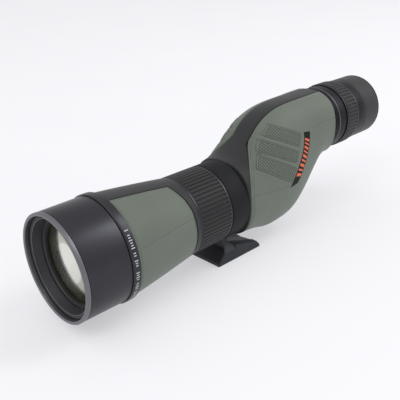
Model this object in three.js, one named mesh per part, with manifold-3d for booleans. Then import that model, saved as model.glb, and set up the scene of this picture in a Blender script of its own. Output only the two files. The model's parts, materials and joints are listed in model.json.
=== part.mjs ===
// Straight spotting scope of the 65 mm class: sliding sunshade, helical focus ring, turning tripod
// collar, prism housing that lifts the eyepiece axis, zoom eyepiece and twist-up eyecup.
// Millimetres, +Z up. The objective end points towards -Y, and +X is the scope's left side.
// Stations are distances behind the front rim, measured along the optical axis.
import * as THREE from 'three';
import { mergeVertices } from 'three/addons/utils/BufferGeometryUtils.js';
import Module from 'manifold-3d';

const wasm = await Module();
wasm.setup();

// Clearances
const gap = 0.3; // between neighbouring pieces
const slideGap = 0.4; // between pieces that slide on each other

// Overall layout
const sunshadeLength = 36;
const bandLength = 6.4;
const barrelLength = 63.4; // armoured taper
const focusRingLength = 33.4;
const collarLength = 18.4;
const housingLength = 115.5;
const baseRingLength = 8;
const flangeRingLength = 10.2;
const zoomRingLength = 17.4;
const rearRingLength = 10;
const eyecupLength = 22.4;
const eyecupRimLength = 3.2;
const sunshadeRadius = 40.2;
const neckRadius = 27.6; // tube under the focus ring and the collar
const eyepieceTubeRadius = 22;
const eyepieceRise = 37.9; // eyepiece axis above the main axis
const footDrop = 47.5; // main axis above the foot's underside

// Front end
const sunshadeWall = 2.6;
const frontRingLength = 3.2;
const frontRingLip = 0.9; // how far the front ring stands inside the sunshade's bore
const bandProud = 1.1; // above the sunshade
const tubeSetback = 3.6; // objective tube's front edge behind the rim
const tubeWall = 2.4;
const mouthDepth = 7; // tapered mouth in front of the objective
const mouthTaper = 2;
const sealWidth = 2.4;
const sealDepth = 1.1;
const sealSetback = 5; // behind the objective tube's front edge

// Objective
const crownThickness = 9;
const flintThickness = 6;
const lensSag = 3.2;
const cellWall = 1.9;
const retainerLength = 2.4;
const retainerLip = 1.6;

// Barrel
const barrelSetIn = 0.3; // barrel's front end below the sunshade
const barrelSwell = 0.35;
const armourThickness = 2.2;
const stripHalfWidth = 9.3; // black strip that runs along the top and the bottom
const panelCornerRadius = 21;
const panelEndMargin = 5; // armour left behind the panel's round end
const baffleRadius = 24;
const baffleThickness = 1.4;
const baffleMargin = 0.72; // play round the baffle
const neckShoulder = 4; // wall left where the barrel steps down to the neck
const edgeBreak = 0.5; // chamfer on turned edges

// Neck of the tube, under the focus ring and the collar
const neckWall = 2.2;
const neckTenon = 6; // how far the neck enters the prism housing

// Focus ring
const focusRingDepth = 4.4; // above the neck
const focusRibCount = 60;
const ribDepth = 1.1;
const gripWall = 1.6;
const gripLip = 1.5;
const gripLipDrop = 0.4;
const focusTravel = 8; // each way
const focusCellLength = 11;
const focusCellWall = 4.7;
const focusLensSetback = 2.5;
const focusLensThickness = 4;
const cellLip = 2; // shoulder that holds a lens in its cell
const drivePinRadius = 1.2;
const drivePinSeat = 3.5; // how far the pin is let into the cell
const threadRelief = 0.9; // room in the sleeve for the pin's head
const threadMargin = 3; // plain land at each end of the relief

// Tripod collar and foot
const collarDepth = 4.3; // above the neck
const linerWall = 1.2;
const footWidth = 44.8;
const footLength = 49;
const footToeReach = 8.4; // in front of the collar
const footToeHeight = 3;
const footHeelHeight = 2.4;
const footHeelSlope = 3.5;
const footTailHeight = 6.4;
const footNeckRise = 2; // between the foot's shoulder and the collar
const footNeckLength = 7.1; // behind the collar's front
const footNeckWidth = 34;
const footWaistHeight = 9;
const footBevel = 0.9;
const troughFront = 3.2; // trough above the foot, beyond the collar's radius
const troughRear = 3.2; // trough below the foot's tail
const socketRadius = 3.2; // 1/4 inch tripod thread
const socketDepth = 9.5;
const socketOffset = -11.5; // in front of the middle of the foot, under its neck
const bushWall = 2.2;
const bushRoof = 0.8;
const pinHoleRadius = 2.4;
const pinHoleDepth = 4.5;
const pinHoleOffset = 12; // behind the middle of the foot
const knobRadius = 8.2;
const knobLength = 9;
const knobRoof = 2; // knob material over the stud's end
const knobLobes = 8;
const knobLobeDepth = 1;
const bossRadius = 6.4;
const bossHeight = 3.6;
const studRadius = 2;

// Prism housing: [station, top, underside, half width], heights from the main axis. The front
// part follows the neck, and the rear part follows the eyepiece tube.
const overNeck = (depth) => neckRadius + depth;
const underNeck = (depth) => -neckRadius - depth;
const overEyepiece = (depth) => eyepieceRise + eyepieceTubeRadius + depth;
const underEyepiece = (depth) => eyepieceRise - eyepieceTubeRadius - depth;
const housingSections = [
  [0, overNeck(4.3), underNeck(4.2), neckRadius + 4.2],
  [10.6, overNeck(7.8), underNeck(4.7), neckRadius + 4.5],
  [22.6, overNeck(17.7), underNeck(7.1), neckRadius + 4.9],
  [35.6, overEyepiece(-2.9), underNeck(10.3), neckRadius + 5.3],
  [50.6, overEyepiece(4), underNeck(10), neckRadius + 5.1],
  [65.6, overEyepiece(6.5), underNeck(6.9), neckRadius + 4],
  [78.6, overEyepiece(7.1), underNeck(-3.3), eyepieceTubeRadius + 8],
  [90.6, overEyepiece(7.2), underEyepiece(24.5), eyepieceTubeRadius + 7.2],
  [102.6, overEyepiece(7.3), underEyepiece(10.3), eyepieceTubeRadius + 7.1],
  [115.5, overEyepiece(7.4), underEyepiece(7.4), eyepieceTubeRadius + 7.3],
];
const sectionPower = 2.5;
const housingWall = 2.2;
const housingEndWall = 4;
const panelFrontEdge = 2; // side panel's front edge behind the housing's front
const panelShoulder = [[0, 4], [1.2, 17], [6.5, 28], [15.5, 38.6], [24, 52], [27, 72]];
const badgeFrontEdge = [[71, 43.6], [66.5, 27], [50, 2.2]]; // start, pull and end of each curved edge
const badgeRearEdge = [[59.4, 3], [72.5, 21], [79.7, 42.4]];
const badgeInnerEdge = 12; // badge starts this far from the middle plane
const badgeProud = 0.3;
const badgeSink = 1.4; // badge's thickness below the armour's face
const badgeSeat = 0.3; // play under the badge

// Prisms
const prismThickness = 16;
const prismEdgeTrim = 0.4;
const prismForward = 1.75; // gap between the two prisms, ahead of the housing's middle
const prismPlateThickness = 2;

// Eyepiece
const baseRingDepth = 6.7; // above the eyepiece tube
const flangeRingDepth = 6.4;
const zoomRingDepth = 7.7;
const rearRingDepth = 6.6;
const eyecupDepth = 6.5;
const eyepieceTubeWall = 2.2;
const eyepieceTenon = 7;
const eyecupSocket = 12; // how far the tube and the guide reach into the eyecup
const zoomRibCount = 54;
const zoomSleeveWall = 3.6;
const eyecupWall = 3.4;
const eyecupMouthDepth = 5; // mouth's radius below the tube's
const mouthStep = 1.5;
const guideWall = 2.2;
const guideSetback = 1;
const fieldCellWall = 6.2;
const fieldCellLength = 6;
const eyeCellWall = 5.2;
const eyeCellLength = 10.5;
const eyeCellSetback = 0.5;
const zoomCellWall = 7.1;
const zoomCellLength = 7;
const zoomFrontSeat = 9; // front zoom cell behind the housing
const zoomRearSeat = 8; // rear zoom cell behind the zoom ring's front

// Facets
const outerSides = 24;
const innerSides = 16;
const holeSides = 20;
const loftSides = 24;
const loftSteps = 14;

// Radii and stations worked out from the sizes above
const bandRadius = sunshadeRadius + bandProud;
const barrelFrontRadius = sunshadeRadius - barrelSetIn;
const focusRingRadius = neckRadius + focusRingDepth;
const barrelRearRadius = focusRingRadius;
const collarRadius = neckRadius + collarDepth;
const eyepieceBore = eyepieceTubeRadius - eyepieceTubeWall;
const zoomRingRadius = eyepieceTubeRadius + zoomRingDepth;
const eyecupRadius = eyepieceTubeRadius + eyecupDepth;
const eyecupMouth = eyepieceTubeRadius - eyecupMouthDepth;
const bandFront = sunshadeLength + gap;
const bandRear = bandFront + bandLength;
const barrelFront = bandRear + gap;
const barrelRear = barrelFront + barrelLength;
const focusFront = barrelRear + gap;
const focusRear = focusFront + focusRingLength;
const collarFront = focusRear + gap;
const collarRear = collarFront + collarLength;
const collarMiddle = (collarFront + collarRear) / 2;
const housingFront = collarRear + gap;
const housingRear = housingFront + housingLength;
const baseRingFront = housingRear + gap;
const flangeFront = baseRingFront + baseRingLength + gap;
const zoomFront = flangeFront + flangeRingLength + gap;
const zoomRear = zoomFront + zoomRingLength;
const rearRingFront = zoomRear + gap;
const eyecupFront = rearRingFront + rearRingLength + gap;
const eyepieceTubeRear = eyecupFront + eyecupSocket;
const rimFront = eyecupFront + eyecupLength + gap;
const tubeRadius = sunshadeRadius - sunshadeWall - slideGap;
const tubeBore = tubeRadius - tubeWall;
const sealFront = tubeSetback + sealSetback;
const footFront = collarFront - footToeReach;
const footCentre = footFront + footLength / 2;
const footShoulderHeight = footDrop - collarRadius - footNeckRise;

// Finishes
const finishes = {
  anodised: { color: 0x4a4b4f, roughness: 0.42, metalness: 0.6 },
  brightRing: { color: 0x8d9093, roughness: 0.35, metalness: 0.7 },
  innerBlack: { color: 0x1c1c1e, roughness: 0.7, metalness: 0.2 },
  rubber: { color: 0x2c2d2f, roughness: 0.75, metalness: 0 },
  greenArmour: { color: 0x6c7468, roughness: 0.7, metalness: 0 },
  casting: { color: 0x3a3b3d, roughness: 0.5, metalness: 0.5 },
  footMetal: { color: 0x2a2b2d, roughness: 0.45, metalness: 0.6 },
  glass: { color: 0xb9c4ae, roughness: 0.05, metalness: 0 },
  prismGlass: { color: 0xdfe8e6, roughness: 0.05, metalness: 0 },
  badge: { color: 0x1b1c1c, roughness: 0.5, metalness: 0 },
  steel: { color: 0x9a9c9e, roughness: 0.3, metalness: 0.9 },
  polymer: { color: 0x37383a, roughness: 0.55, metalness: 0 },
};

// Geometry helpers
function toSolid(geometry) {
  const bare = geometry.clone();
  for (const name of Object.keys(bare.attributes)) {
    if (name !== 'position') bare.deleteAttribute(name);
  }
  const merged = mergeVertices(bare, 1e-4);
  const position = merged.getAttribute('position').array;
  const source = merged.index.array;
  const kept = [];
  for (let i = 0; i < source.length; i += 3) {
    const [a, b, c] = [source[i], source[i + 1], source[i + 2]];
    if (a !== b && b !== c && c !== a) kept.push(a, b, c);
  }
  if (signedVolume(position, kept) < 0) {
    for (let i = 0; i < kept.length; i += 3) [kept[i], kept[i + 1]] = [kept[i + 1], kept[i]];
  }
  return new wasm.Manifold(new wasm.Mesh({
    numProp: 3,
    vertProperties: new Float32Array(position),
    triVerts: new Uint32Array(kept),
  }));
}

function signedVolume(position, triangles) {
  let sum = 0;
  const corner = (i) => new THREE.Vector3().fromArray(position, 3 * i);
  for (let i = 0; i < triangles.length; i += 3) {
    sum += corner(triangles[i]).dot(corner(triangles[i + 1]).cross(corner(triangles[i + 2])));
  }
  return sum;
}

function toGeometry(solid) {
  const mesh = solid.getMesh();
  const geometry = new THREE.BufferGeometry();
  geometry.setAttribute('position', new THREE.BufferAttribute(mesh.vertProperties, 3));
  geometry.setIndex(new THREE.BufferAttribute(mesh.triVerts, 1));
  geometry.computeVertexNormals();
  return geometry;
}

// A turned piece: its outline is a list of [radius, station], closed on itself or on the axis.
function turned(outline, sides = outerSides) {
  const points = outline.map(([radius, station]) => new THREE.Vector2(radius, station));
  if (outline[0][0] > 0 || outline.at(-1)[0] > 0) points.push(points[0].clone());
  return toSolid(new THREE.LatheGeometry(points, sides));
}

function ring(inner, outer, from, to, sides = outerSides) {
  return turned([[inner, from], [outer, from], [outer, to], [inner, to]], sides);
}

function plug(radius, from, to, sides = outerSides) {
  return turned([[0, from], [radius, from], [radius, to], [0, to]], sides);
}

// A ring whose outer edges are broken by a small chamfer.
function softRing(inner, outer, from, to, edge = edgeBreak, sides = outerSides) {
  return turned([
    [inner, from], [outer - edge, from], [outer, from + edge],
    [outer, to - edge], [outer - edge, to], [inner, to],
  ], sides);
}

function box(x, y, z) {
  const [sizeX, sizeY, sizeZ] = [x, y, z].map(([low, high]) => high - low);
  const geometry = new THREE.BoxGeometry(sizeX, sizeY, sizeZ);
  geometry.translate(x[0] + sizeX / 2, y[0] + sizeY / 2, z[0] + sizeZ / 2);
  return toSolid(geometry);
}

// An outline of [station, height] points, extruded across the scope from x = low to x = high.
function acrossX(outline, low, high, bevel = 0) {
  const shape = new THREE.Shape(outline.map(([station, height]) => new THREE.Vector2(station, height)));
  const geometry = new THREE.ExtrudeGeometry(shape, {
    depth: high - low - 2 * bevel,
    bevelEnabled: bevel > 0,
    bevelThickness: bevel,
    bevelSize: bevel,
    bevelOffset: -bevel,
    bevelSegments: 1,
  });
  geometry.translate(0, 0, low + bevel);
  geometry.applyMatrix4(new THREE.Matrix4().set(0, 0, 1, 0, 1, 0, 0, 0, 0, 1, 0, 0, 0, 0, 0, 1));
  return toSolid(geometry);
}

// A rod along X (a lock stud or a cross pin) or along Z (a hole in the foot).
function rod(radius, from, to, axis, at, sides = innerSides) {
  const geometry = new THREE.CylinderGeometry(radius, radius, to - from, sides);
  geometry.translate(0, (from + to) / 2, 0);
  if (axis === 'x') geometry.rotateZ(-Math.PI / 2);
  if (axis === 'z') geometry.rotateX(Math.PI / 2);
  geometry.translate(...at);
  return toSolid(geometry);
}

// A rubber ring with straight ribs along it, held between the two flanges of its sleeve.
function ribbedGrip(inner, outer, from, to, ribs) {
  const pitch = (2 * Math.PI) / ribs;
  const around = (radius, angle) => new THREE.Vector2(radius * Math.sin(angle), -radius * Math.cos(angle));
  const outline = [];
  for (let i = 0; i < ribs; i += 1) {
    for (const [radius, part] of [[outer - ribDepth, 0], [outer, 0.2], [outer, 0.65]]) {
      outline.push(around(radius, (i + part) * pitch));
    }
  }
  const shape = new THREE.Shape(outline);
  const bore = [];
  for (let i = 0; i < outerSides; i += 1) bore.push(around(inner, (2 * Math.PI * i) / outerSides));
  shape.holes.push(new THREE.Path(bore));
  const geometry = new THREE.ExtrudeGeometry(shape, { depth: to - from, bevelEnabled: false });
  geometry.rotateX(-Math.PI / 2);
  geometry.translate(0, from, 0);
  return toSolid(geometry);
}

// Lens bodies: sag is how far a face bulges from its edge, and a hollow face has a negative sag.
function lens(radius, front, thickness, frontSag, rearSag, sides = innerSides) {
  const steps = 3;
  const outline = [];
  for (let i = 0; i <= steps; i += 1) {
    const r = (radius * i) / steps;
    outline.push([r, front + frontSag * (r / radius) ** 2]);
  }
  for (let i = steps; i >= 0; i -= 1) {
    const r = (radius * i) / steps;
    outline.push([r, front + thickness - rearSag * (r / radius) ** 2]);
  }
  return turned(outline, sides);
}

function mesh(name, solid, finish) {
  const part = new THREE.Mesh(toGeometry(solid), new THREE.MeshStandardMaterial(finishes[finish]));
  part.name = name;
  return part;
}

// Outer radius of the armour on the tapered barrel
function barrelRadius(station) {
  const t = (station - barrelFront) / barrelLength;
  return barrelFrontRadius + (barrelRearRadius - barrelFrontRadius) * t + 4 * barrelSwell * t * (1 - t);
}

function taperOutline(inset, from, to, steps = 3) {
  const points = [];
  for (let i = 0; i <= steps; i += 1) {
    const station = from + ((to - from) * i) / steps;
    points.push([barrelRadius(station) - inset, station]);
  }
  return points;
}

// Side panel of the barrel seen from the side: straight front edge, round rear end.
function barrelPanelOutline(front, rear, halfHeight, corner) {
  const tall = corner * 1.3; // each rear corner is an upright quarter of an ellipse
  const path = new THREE.Path();
  path.moveTo(front, -halfHeight);
  path.lineTo(rear - corner, -halfHeight);
  path.absellipse(rear - corner, -halfHeight + tall, corner, tall, -Math.PI / 2, 0, false);
  path.absellipse(rear - corner, halfHeight - tall, corner, tall, 0, Math.PI / 2, false);
  path.lineTo(front, halfHeight);
  return path.getPoints(5).map((p) => [p.x, p.y]);
}

// Sections of the prism housing, smoothed along its length, all drawn in by the inset.
const housingScale = housingLength / housingSections.at(-1)[0];
const housingCurve = new THREE.CubicInterpolant(
  housingSections.map((row) => row[0] * housingScale),
  housingSections.flatMap((row) => row.slice(1)),
  3,
  new Float32Array(3),
);

function housingSection(part) {
  const [top, base, half] = housingCurve.evaluate(part * housingLength);
  return { station: housingFront + part * housingLength, top, base, half };
}

// A closed solid between two shares of the housing's length; its ends can run on past them.
function housingLoft(inset, from = 0, to = 1, overrun = 0, steps = loftSteps) {
  const rows = [];
  for (let i = 0; i <= steps; i += 1) {
    const part = from + ((to - from) * i) / steps;
    const { station, top, base, half } = housingSection(part);
    const centre = (top + base) / 2;
    const tall = (top - base) / 2 - inset;
    const shift = i === 0 ? -overrun : i === steps ? overrun : 0;
    const row = [];
    for (let k = 0; k < loftSides; k += 1) {
      const angle = (2 * Math.PI * k) / loftSides;
      const [c, s] = [Math.cos(angle), Math.sin(angle)];
      const x = (half - inset) * Math.sign(c) * Math.abs(c) ** (2 / sectionPower);
      const z = centre + tall * Math.sign(s) * Math.abs(s) ** (2 / sectionPower);
      row.push([x, station + shift, z]);
    }
    rows.push(row);
  }
  return toSolid(loftGeometry(rows));
}

function loftGeometry(rows) {
  const sides = rows[0].length;
  const position = rows.flat(2);
  const index = [];
  for (let i = 0; i + 1 < rows.length; i += 1) {
    for (let k = 0; k < sides; k += 1) {
      const [a, b] = [i * sides + k, i * sides + ((k + 1) % sides)];
      index.push(a, b, a + sides, b, b + sides, a + sides);
    }
  }
  for (const [row, flip] of [[0, true], [rows.length - 1, false]]) {
    const centre = position.length / 3;
    const middle = [0, 1, 2].map((axis) => rows[row].reduce((sum, p) => sum + p[axis], 0) / sides);
    position.push(...middle);
    for (let k = 0; k < sides; k += 1) {
      const [a, b] = [row * sides + k, row * sides + ((k + 1) % sides)];
      index.push(...(flip ? [centre, b, a] : [centre, a, b]));
    }
  }
  const geometry = new THREE.BufferGeometry();
  geometry.setAttribute('position', new THREE.Float32BufferAttribute(position, 3));
  geometry.setIndex(index);
  return geometry;
}

// Sunshade: slides forward on the objective tube
function makeSunshade() {
  const bore = sunshadeRadius - sunshadeWall;
  const lip = bore - frontRingLip;
  const group = new THREE.Group();
  const tube = softRing(bore, sunshadeRadius, frontRingLength + gap, sunshadeLength);
  group.add(mesh('sunshade_tube', tube, 'anodised'));
  group.add(mesh('sunshade_front_ring', turned([
    [lip + 0.8, 0], [sunshadeRadius - 1.1, 0], [sunshadeRadius - 0.3, 0.5],
    [sunshadeRadius, 1.4], [sunshadeRadius, frontRingLength], [lip + gap, frontRingLength],
    [lip, 0.9],
  ]), 'brightRing'));
  return group;
}

// Objective tube, barrel and everything fixed inside them
function makeTube() {
  const skin = armourThickness + gap;
  const neckRear = housingFront + neckTenon;
  const outer = [
    [tubeRadius, tubeSetback],
    [tubeRadius, barrelFront],
    ...taperOutline(skin, barrelFront + gap, barrelRear),
    [neckRadius, barrelRear],
    [neckRadius, neckRear],
  ];
  const inner = [
    [neckRadius - neckWall, neckRear],
    [neckRadius - neckWall, barrelRear - neckShoulder],
    ...taperOutline(skin + tubeWall, barrelFront + gap, barrelRear - 2 * neckShoulder).reverse(),
    [tubeBore, barrelFront - gap],
    [tubeBore, tubeSetback + mouthDepth],
    [tubeBore - mouthTaper, tubeSetback + mouthDepth],
    [tubeBore, tubeSetback + edgeBreak],
  ];
  const slotHalf = focusTravel + drivePinRadius + slideGap;
  const slotMiddle = focusFront + focusRingLength / 2;
  const slot = box(
    [-drivePinRadius - slideGap, drivePinRadius + slideGap],
    [slotMiddle - slotHalf, slotMiddle + slotHalf],
    [-neckRadius - 1, -neckRadius + neckWall + 2],
  );
  const groove = ring(tubeRadius - sealDepth, tubeRadius + 1, sealFront, sealFront + sealWidth);
  return turned([...outer, ...inner]).subtract(slot).subtract(groove);
}

function makeTubeTrim() {
  const group = new THREE.Group();
  group.add(mesh('main_tube', makeTube(), 'innerBlack'));
  group.add(mesh('engraved_band', softRing(tubeRadius + gap, bandRadius, bandFront, bandRear), 'anodised'));
  const seal = ring(tubeRadius - sealDepth + gap, tubeRadius + slideGap / 4,
    sealFront + gap, sealFront + sealWidth - gap);
  group.add(mesh('sunshade_seal', seal, 'rubber'));
  return group;
}

function makeObjective() {
  const group = new THREE.Group();
  const cellRadius = tubeBore - gap;
  const cellBore = cellRadius - cellWall;
  const objectiveRadius = cellBore - gap;
  const lip = objectiveRadius - retainerLip;
  const cellFront = tubeSetback + mouthDepth + gap;
  const crownEdge = cellFront + retainerLength + gap + 1;
  const crownFront = crownEdge - lensSag;
  const flintFront = crownFront + crownThickness + gap - lensSag;
  const flintRear = flintFront + flintThickness + lensSag;
  const cellRear = flintRear + gap + retainerLength;
  group.add(mesh('objective_cell', turned([
    [cellBore, cellFront], [cellRadius, cellFront], [cellRadius, cellRear],
    [lip, cellRear], [lip, flintRear + gap], [cellBore, flintRear + gap],
  ]), 'innerBlack'));
  group.add(mesh('objective_retaining_ring', turned([
    [lip, cellFront], [objectiveRadius, cellFront], [objectiveRadius, crownEdge - gap],
    [lip + 0.6, crownEdge - gap - 0.4], [lip, crownEdge - gap - 1],
  ]), 'innerBlack'));
  group.add(mesh('objective_crown_lens',
    lens(objectiveRadius, crownFront, crownThickness, lensSag, lensSag, outerSides), 'glass'));
  group.add(mesh('objective_flint_lens',
    lens(objectiveRadius, flintFront + lensSag, flintThickness, -lensSag, 0, outerSides), 'glass'));
  const baffleAt = barrelFront + barrelLength / 2;
  const baffleEnd = baffleAt + baffleThickness;
  const baffleOuter = barrelRadius(baffleEnd) - armourThickness - tubeWall - baffleMargin;
  group.add(mesh('light_baffle', ring(baffleRadius, baffleOuter, baffleAt, baffleEnd), 'innerBlack'));
  return group;
}

// Rubber armour on the barrel: a green panel on each side, black everywhere else
function makeBarrelArmour() {
  const group = new THREE.Group();
  const skin = turned([
    ...taperOutline(0, barrelFront, barrelRear),
    ...taperOutline(armourThickness, barrelFront, barrelRear).reverse(),
  ]);
  const reach = bandRadius + 1;
  const side = (grow, low, high) => {
    const rear = barrelRear - panelEndMargin + grow;
    return acrossX(barrelPanelOutline(barrelFront - 1, rear, barrelFrontRadius, panelCornerRadius), low, high);
  };
  const left = side(0, stripHalfWidth, reach);
  const right = side(0, -reach, -stripHalfWidth);
  const leftHole = side(gap, stripHalfWidth - gap, reach);
  const rightHole = side(gap, -reach, -stripHalfWidth + gap);
  group.add(mesh('barrel_armour', skin.subtract(leftHole).subtract(rightHole), 'rubber'));
  group.add(mesh('barrel_panel_left', skin.intersect(left), 'greenArmour'));
  group.add(mesh('barrel_panel_right', skin.intersect(right), 'greenArmour'));
  return group;
}

// Focus ring, the cell it drives, and the pin between them
function makeFocusRing() {
  const group = new THREE.Group();
  const sleeveOuter = focusRingRadius - ribDepth - gripWall;
  const flange = focusRingRadius - gripLipDrop;
  const sleeveInner = neckRadius + gap;
  const reliefFrom = focusFront + threadMargin;
  const reliefTo = focusRear - threadMargin;
  const reliefRadius = sleeveInner + threadRelief;
  group.add(mesh('focus_sleeve', turned([
    [sleeveInner, focusFront], [flange, focusFront], [flange, focusFront + gripLip],
    [sleeveOuter, focusFront + gripLip], [sleeveOuter, focusRear - gripLip],
    [flange, focusRear - gripLip], [flange, focusRear],
    [sleeveInner, focusRear], [sleeveInner, reliefTo], [reliefRadius, reliefTo],
    [reliefRadius, reliefFrom], [sleeveInner, reliefFrom],
  ]), 'anodised'));
  const gripFrom = focusFront + gripLip + gap;
  const gripTo = focusRear - gripLip - gap;
  group.add(mesh('focus_grip',
    ribbedGrip(sleeveOuter + gap, focusRingRadius, gripFrom, gripTo, focusRibCount), 'rubber'));
  return group;
}

function makeFocusCell() {
  const group = new THREE.Group();
  const outer = neckRadius - neckWall - slideGap;
  const bore = outer - focusCellWall;
  const lensRadius = bore - gap;
  const middle = focusFront + focusRingLength / 2;
  const from = middle - focusCellLength / 2;
  const to = middle + focusCellLength / 2;
  const pinTop = -outer + drivePinSeat;
  const pinHole = rod(drivePinRadius + gap, -outer - 1, pinTop + gap, 'z', [0, middle, 0]);
  const cell = turned([
    [bore, from], [outer, from], [outer, to],
    [lensRadius - cellLip, to], [lensRadius - cellLip, to - cellLip], [bore, to - cellLip],
  ], innerSides);
  group.add(mesh('focus_cell', cell.subtract(pinHole), 'innerBlack'));
  group.add(mesh('focus_lens',
    lens(lensRadius, from + focusLensSetback, focusLensThickness, -1.2, -1.2), 'glass'));
  const pinFoot = -neckRadius - threadRelief + 0.1;
  group.add(mesh('focus_drive_pin',
    rod(drivePinRadius, pinFoot, pinTop, 'z', [0, middle, 0], 12), 'steel'));
  return group;
}

// Tripod collar with its foot, threaded bush and lock knob
function makeCollar() {
  const group = new THREE.Group();
  const linerOuter = neckRadius + gap + linerWall;
  const bore = linerOuter + gap;
  const underside = -footDrop;
  const shoulder = underside + footShoulderHeight;
  const footRear = footFront + footLength;
  const neckFront = collarFront + 0.8;
  const neckRear = collarFront + footNeckLength;
  const insideCollar = -collarRadius * 0.78; // the neck runs up into the collar's wall
  const profile = [
    [footFront, underside], [footRear, underside], [footRear, underside + footHeelHeight],
    [footRear - footHeelSlope, underside + footTailHeight],
    [neckRear + 2.5, shoulder], [neckRear + 0.7, shoulder + 0.9], [neckRear, shoulder + 3],
    [neckRear, insideCollar], [neckFront, insideCollar],
    [neckFront, shoulder], [footFront, underside + footToeHeight],
  ];
  const half = footWidth / 2;
  // Trough along the foot that clears the housing above it, deepest towards the heel
  const tailRadius = footDrop - footTailHeight + troughRear;
  const troughEnd = footRear + 6;
  const troughLine = [[1, neckRear], [collarRadius + troughFront, neckRear],
    [tailRadius + troughRear, troughEnd], [1, troughEnd]];
  const waistLow = underside + footWaistHeight;
  const waist = [[half + 1, waistLow], [half + 1, 0], [footNeckWidth / 2, 0],
    [footNeckWidth / 2, shoulder + 2]];
  const waistCut = (side) => alongY(waist.map(([x, z]) => [side * x, z]), footFront - 1, neckRear + 4);
  const boot = acrossX(profile, -half, half, footBevel)
    .subtract(turned(troughLine))
    .subtract(waistCut(1))
    .subtract(waistCut(-1));
  const socketAt = [0, footCentre + socketOffset, 0];
  const pinAt = [0, footCentre + pinHoleOffset, 0];
  const studAt = [0, collarMiddle, 0];
  const bushRadius = socketRadius + bushWall;
  const bossFace = -collarRadius - bossHeight;
  const body = softRing(bore - 0.5, collarRadius, collarFront, collarRear)
    .add(boot)
    .add(rod(bossRadius, bossFace, -bore, 'x', studAt))
    .subtract(plug(bore, collarFront - footLength, collarRear + footLength))
    .subtract(rod(studRadius + gap, bossFace - 1, -bore + 2, 'x', studAt))
    .subtract(rod(bushRadius + gap, underside - 1, underside + socketDepth + gap, 'z', socketAt, outerSides))
    .subtract(rod(pinHoleRadius, underside - 1, underside + pinHoleDepth, 'z', pinAt, holeSides));
  group.add(mesh('tripod_collar', body, 'footMetal'));
  const liner = ring(neckRadius + gap, linerOuter, collarFront + gap, collarRear - gap);
  group.add(mesh('collar_liner', liner, 'polymer'));
  const bush = rod(bushRadius, underside + 0.2, underside + socketDepth, 'z', socketAt, outerSides)
    .subtract(rod(socketRadius, underside - 1, underside + socketDepth - bushRoof, 'z', socketAt, outerSides));
  group.add(mesh('tripod_bush', bush, 'steel'));
  return group;
}

function alongY(outline, from, to) {
  const shape = new THREE.Shape(outline.map(([x, z]) => new THREE.Vector2(x, z)));
  const geometry = new THREE.ExtrudeGeometry(shape, { depth: to - from, bevelEnabled: false });
  geometry.rotateX(Math.PI / 2);
  geometry.translate(0, to, 0);
  return toSolid(geometry);
}

function makeLockKnob() {
  const group = new THREE.Group();
  const seat = -collarRadius - bossHeight - gap;
  const studAt = [0, collarMiddle, 0];
  const shape = new THREE.Shape();
  const steps = knobLobes * 6;
  for (let i = 0; i < steps; i += 1) {
    const angle = (2 * Math.PI * i) / steps;
    const radius = knobRadius - knobLobeDepth * (0.5 + 0.5 * Math.cos(knobLobes * angle));
    const point = [radius * Math.cos(angle), radius * Math.sin(angle)];
    if (i === 0) shape.moveTo(...point);
    else shape.lineTo(...point);
  }
  shape.closePath();
  const geometry = new THREE.ExtrudeGeometry(shape, { depth: knobLength, bevelEnabled: false });
  geometry.rotateY(-Math.PI / 2);
  geometry.translate(seat, collarMiddle, 0);
  const studOuter = seat - knobLength + knobRoof;
  const studHole = rod(studRadius + gap, studOuter - gap, seat + 1, 'x', studAt);
  group.add(mesh('collar_lock_knob', toSolid(geometry).subtract(studHole), 'rubber'));
  const studInner = -(neckRadius + gap + linerWall + gap);
  group.add(mesh('collar_lock_stud', rod(studRadius, studOuter, studInner, 'x', studAt), 'steel'));
  return group;
}

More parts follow.
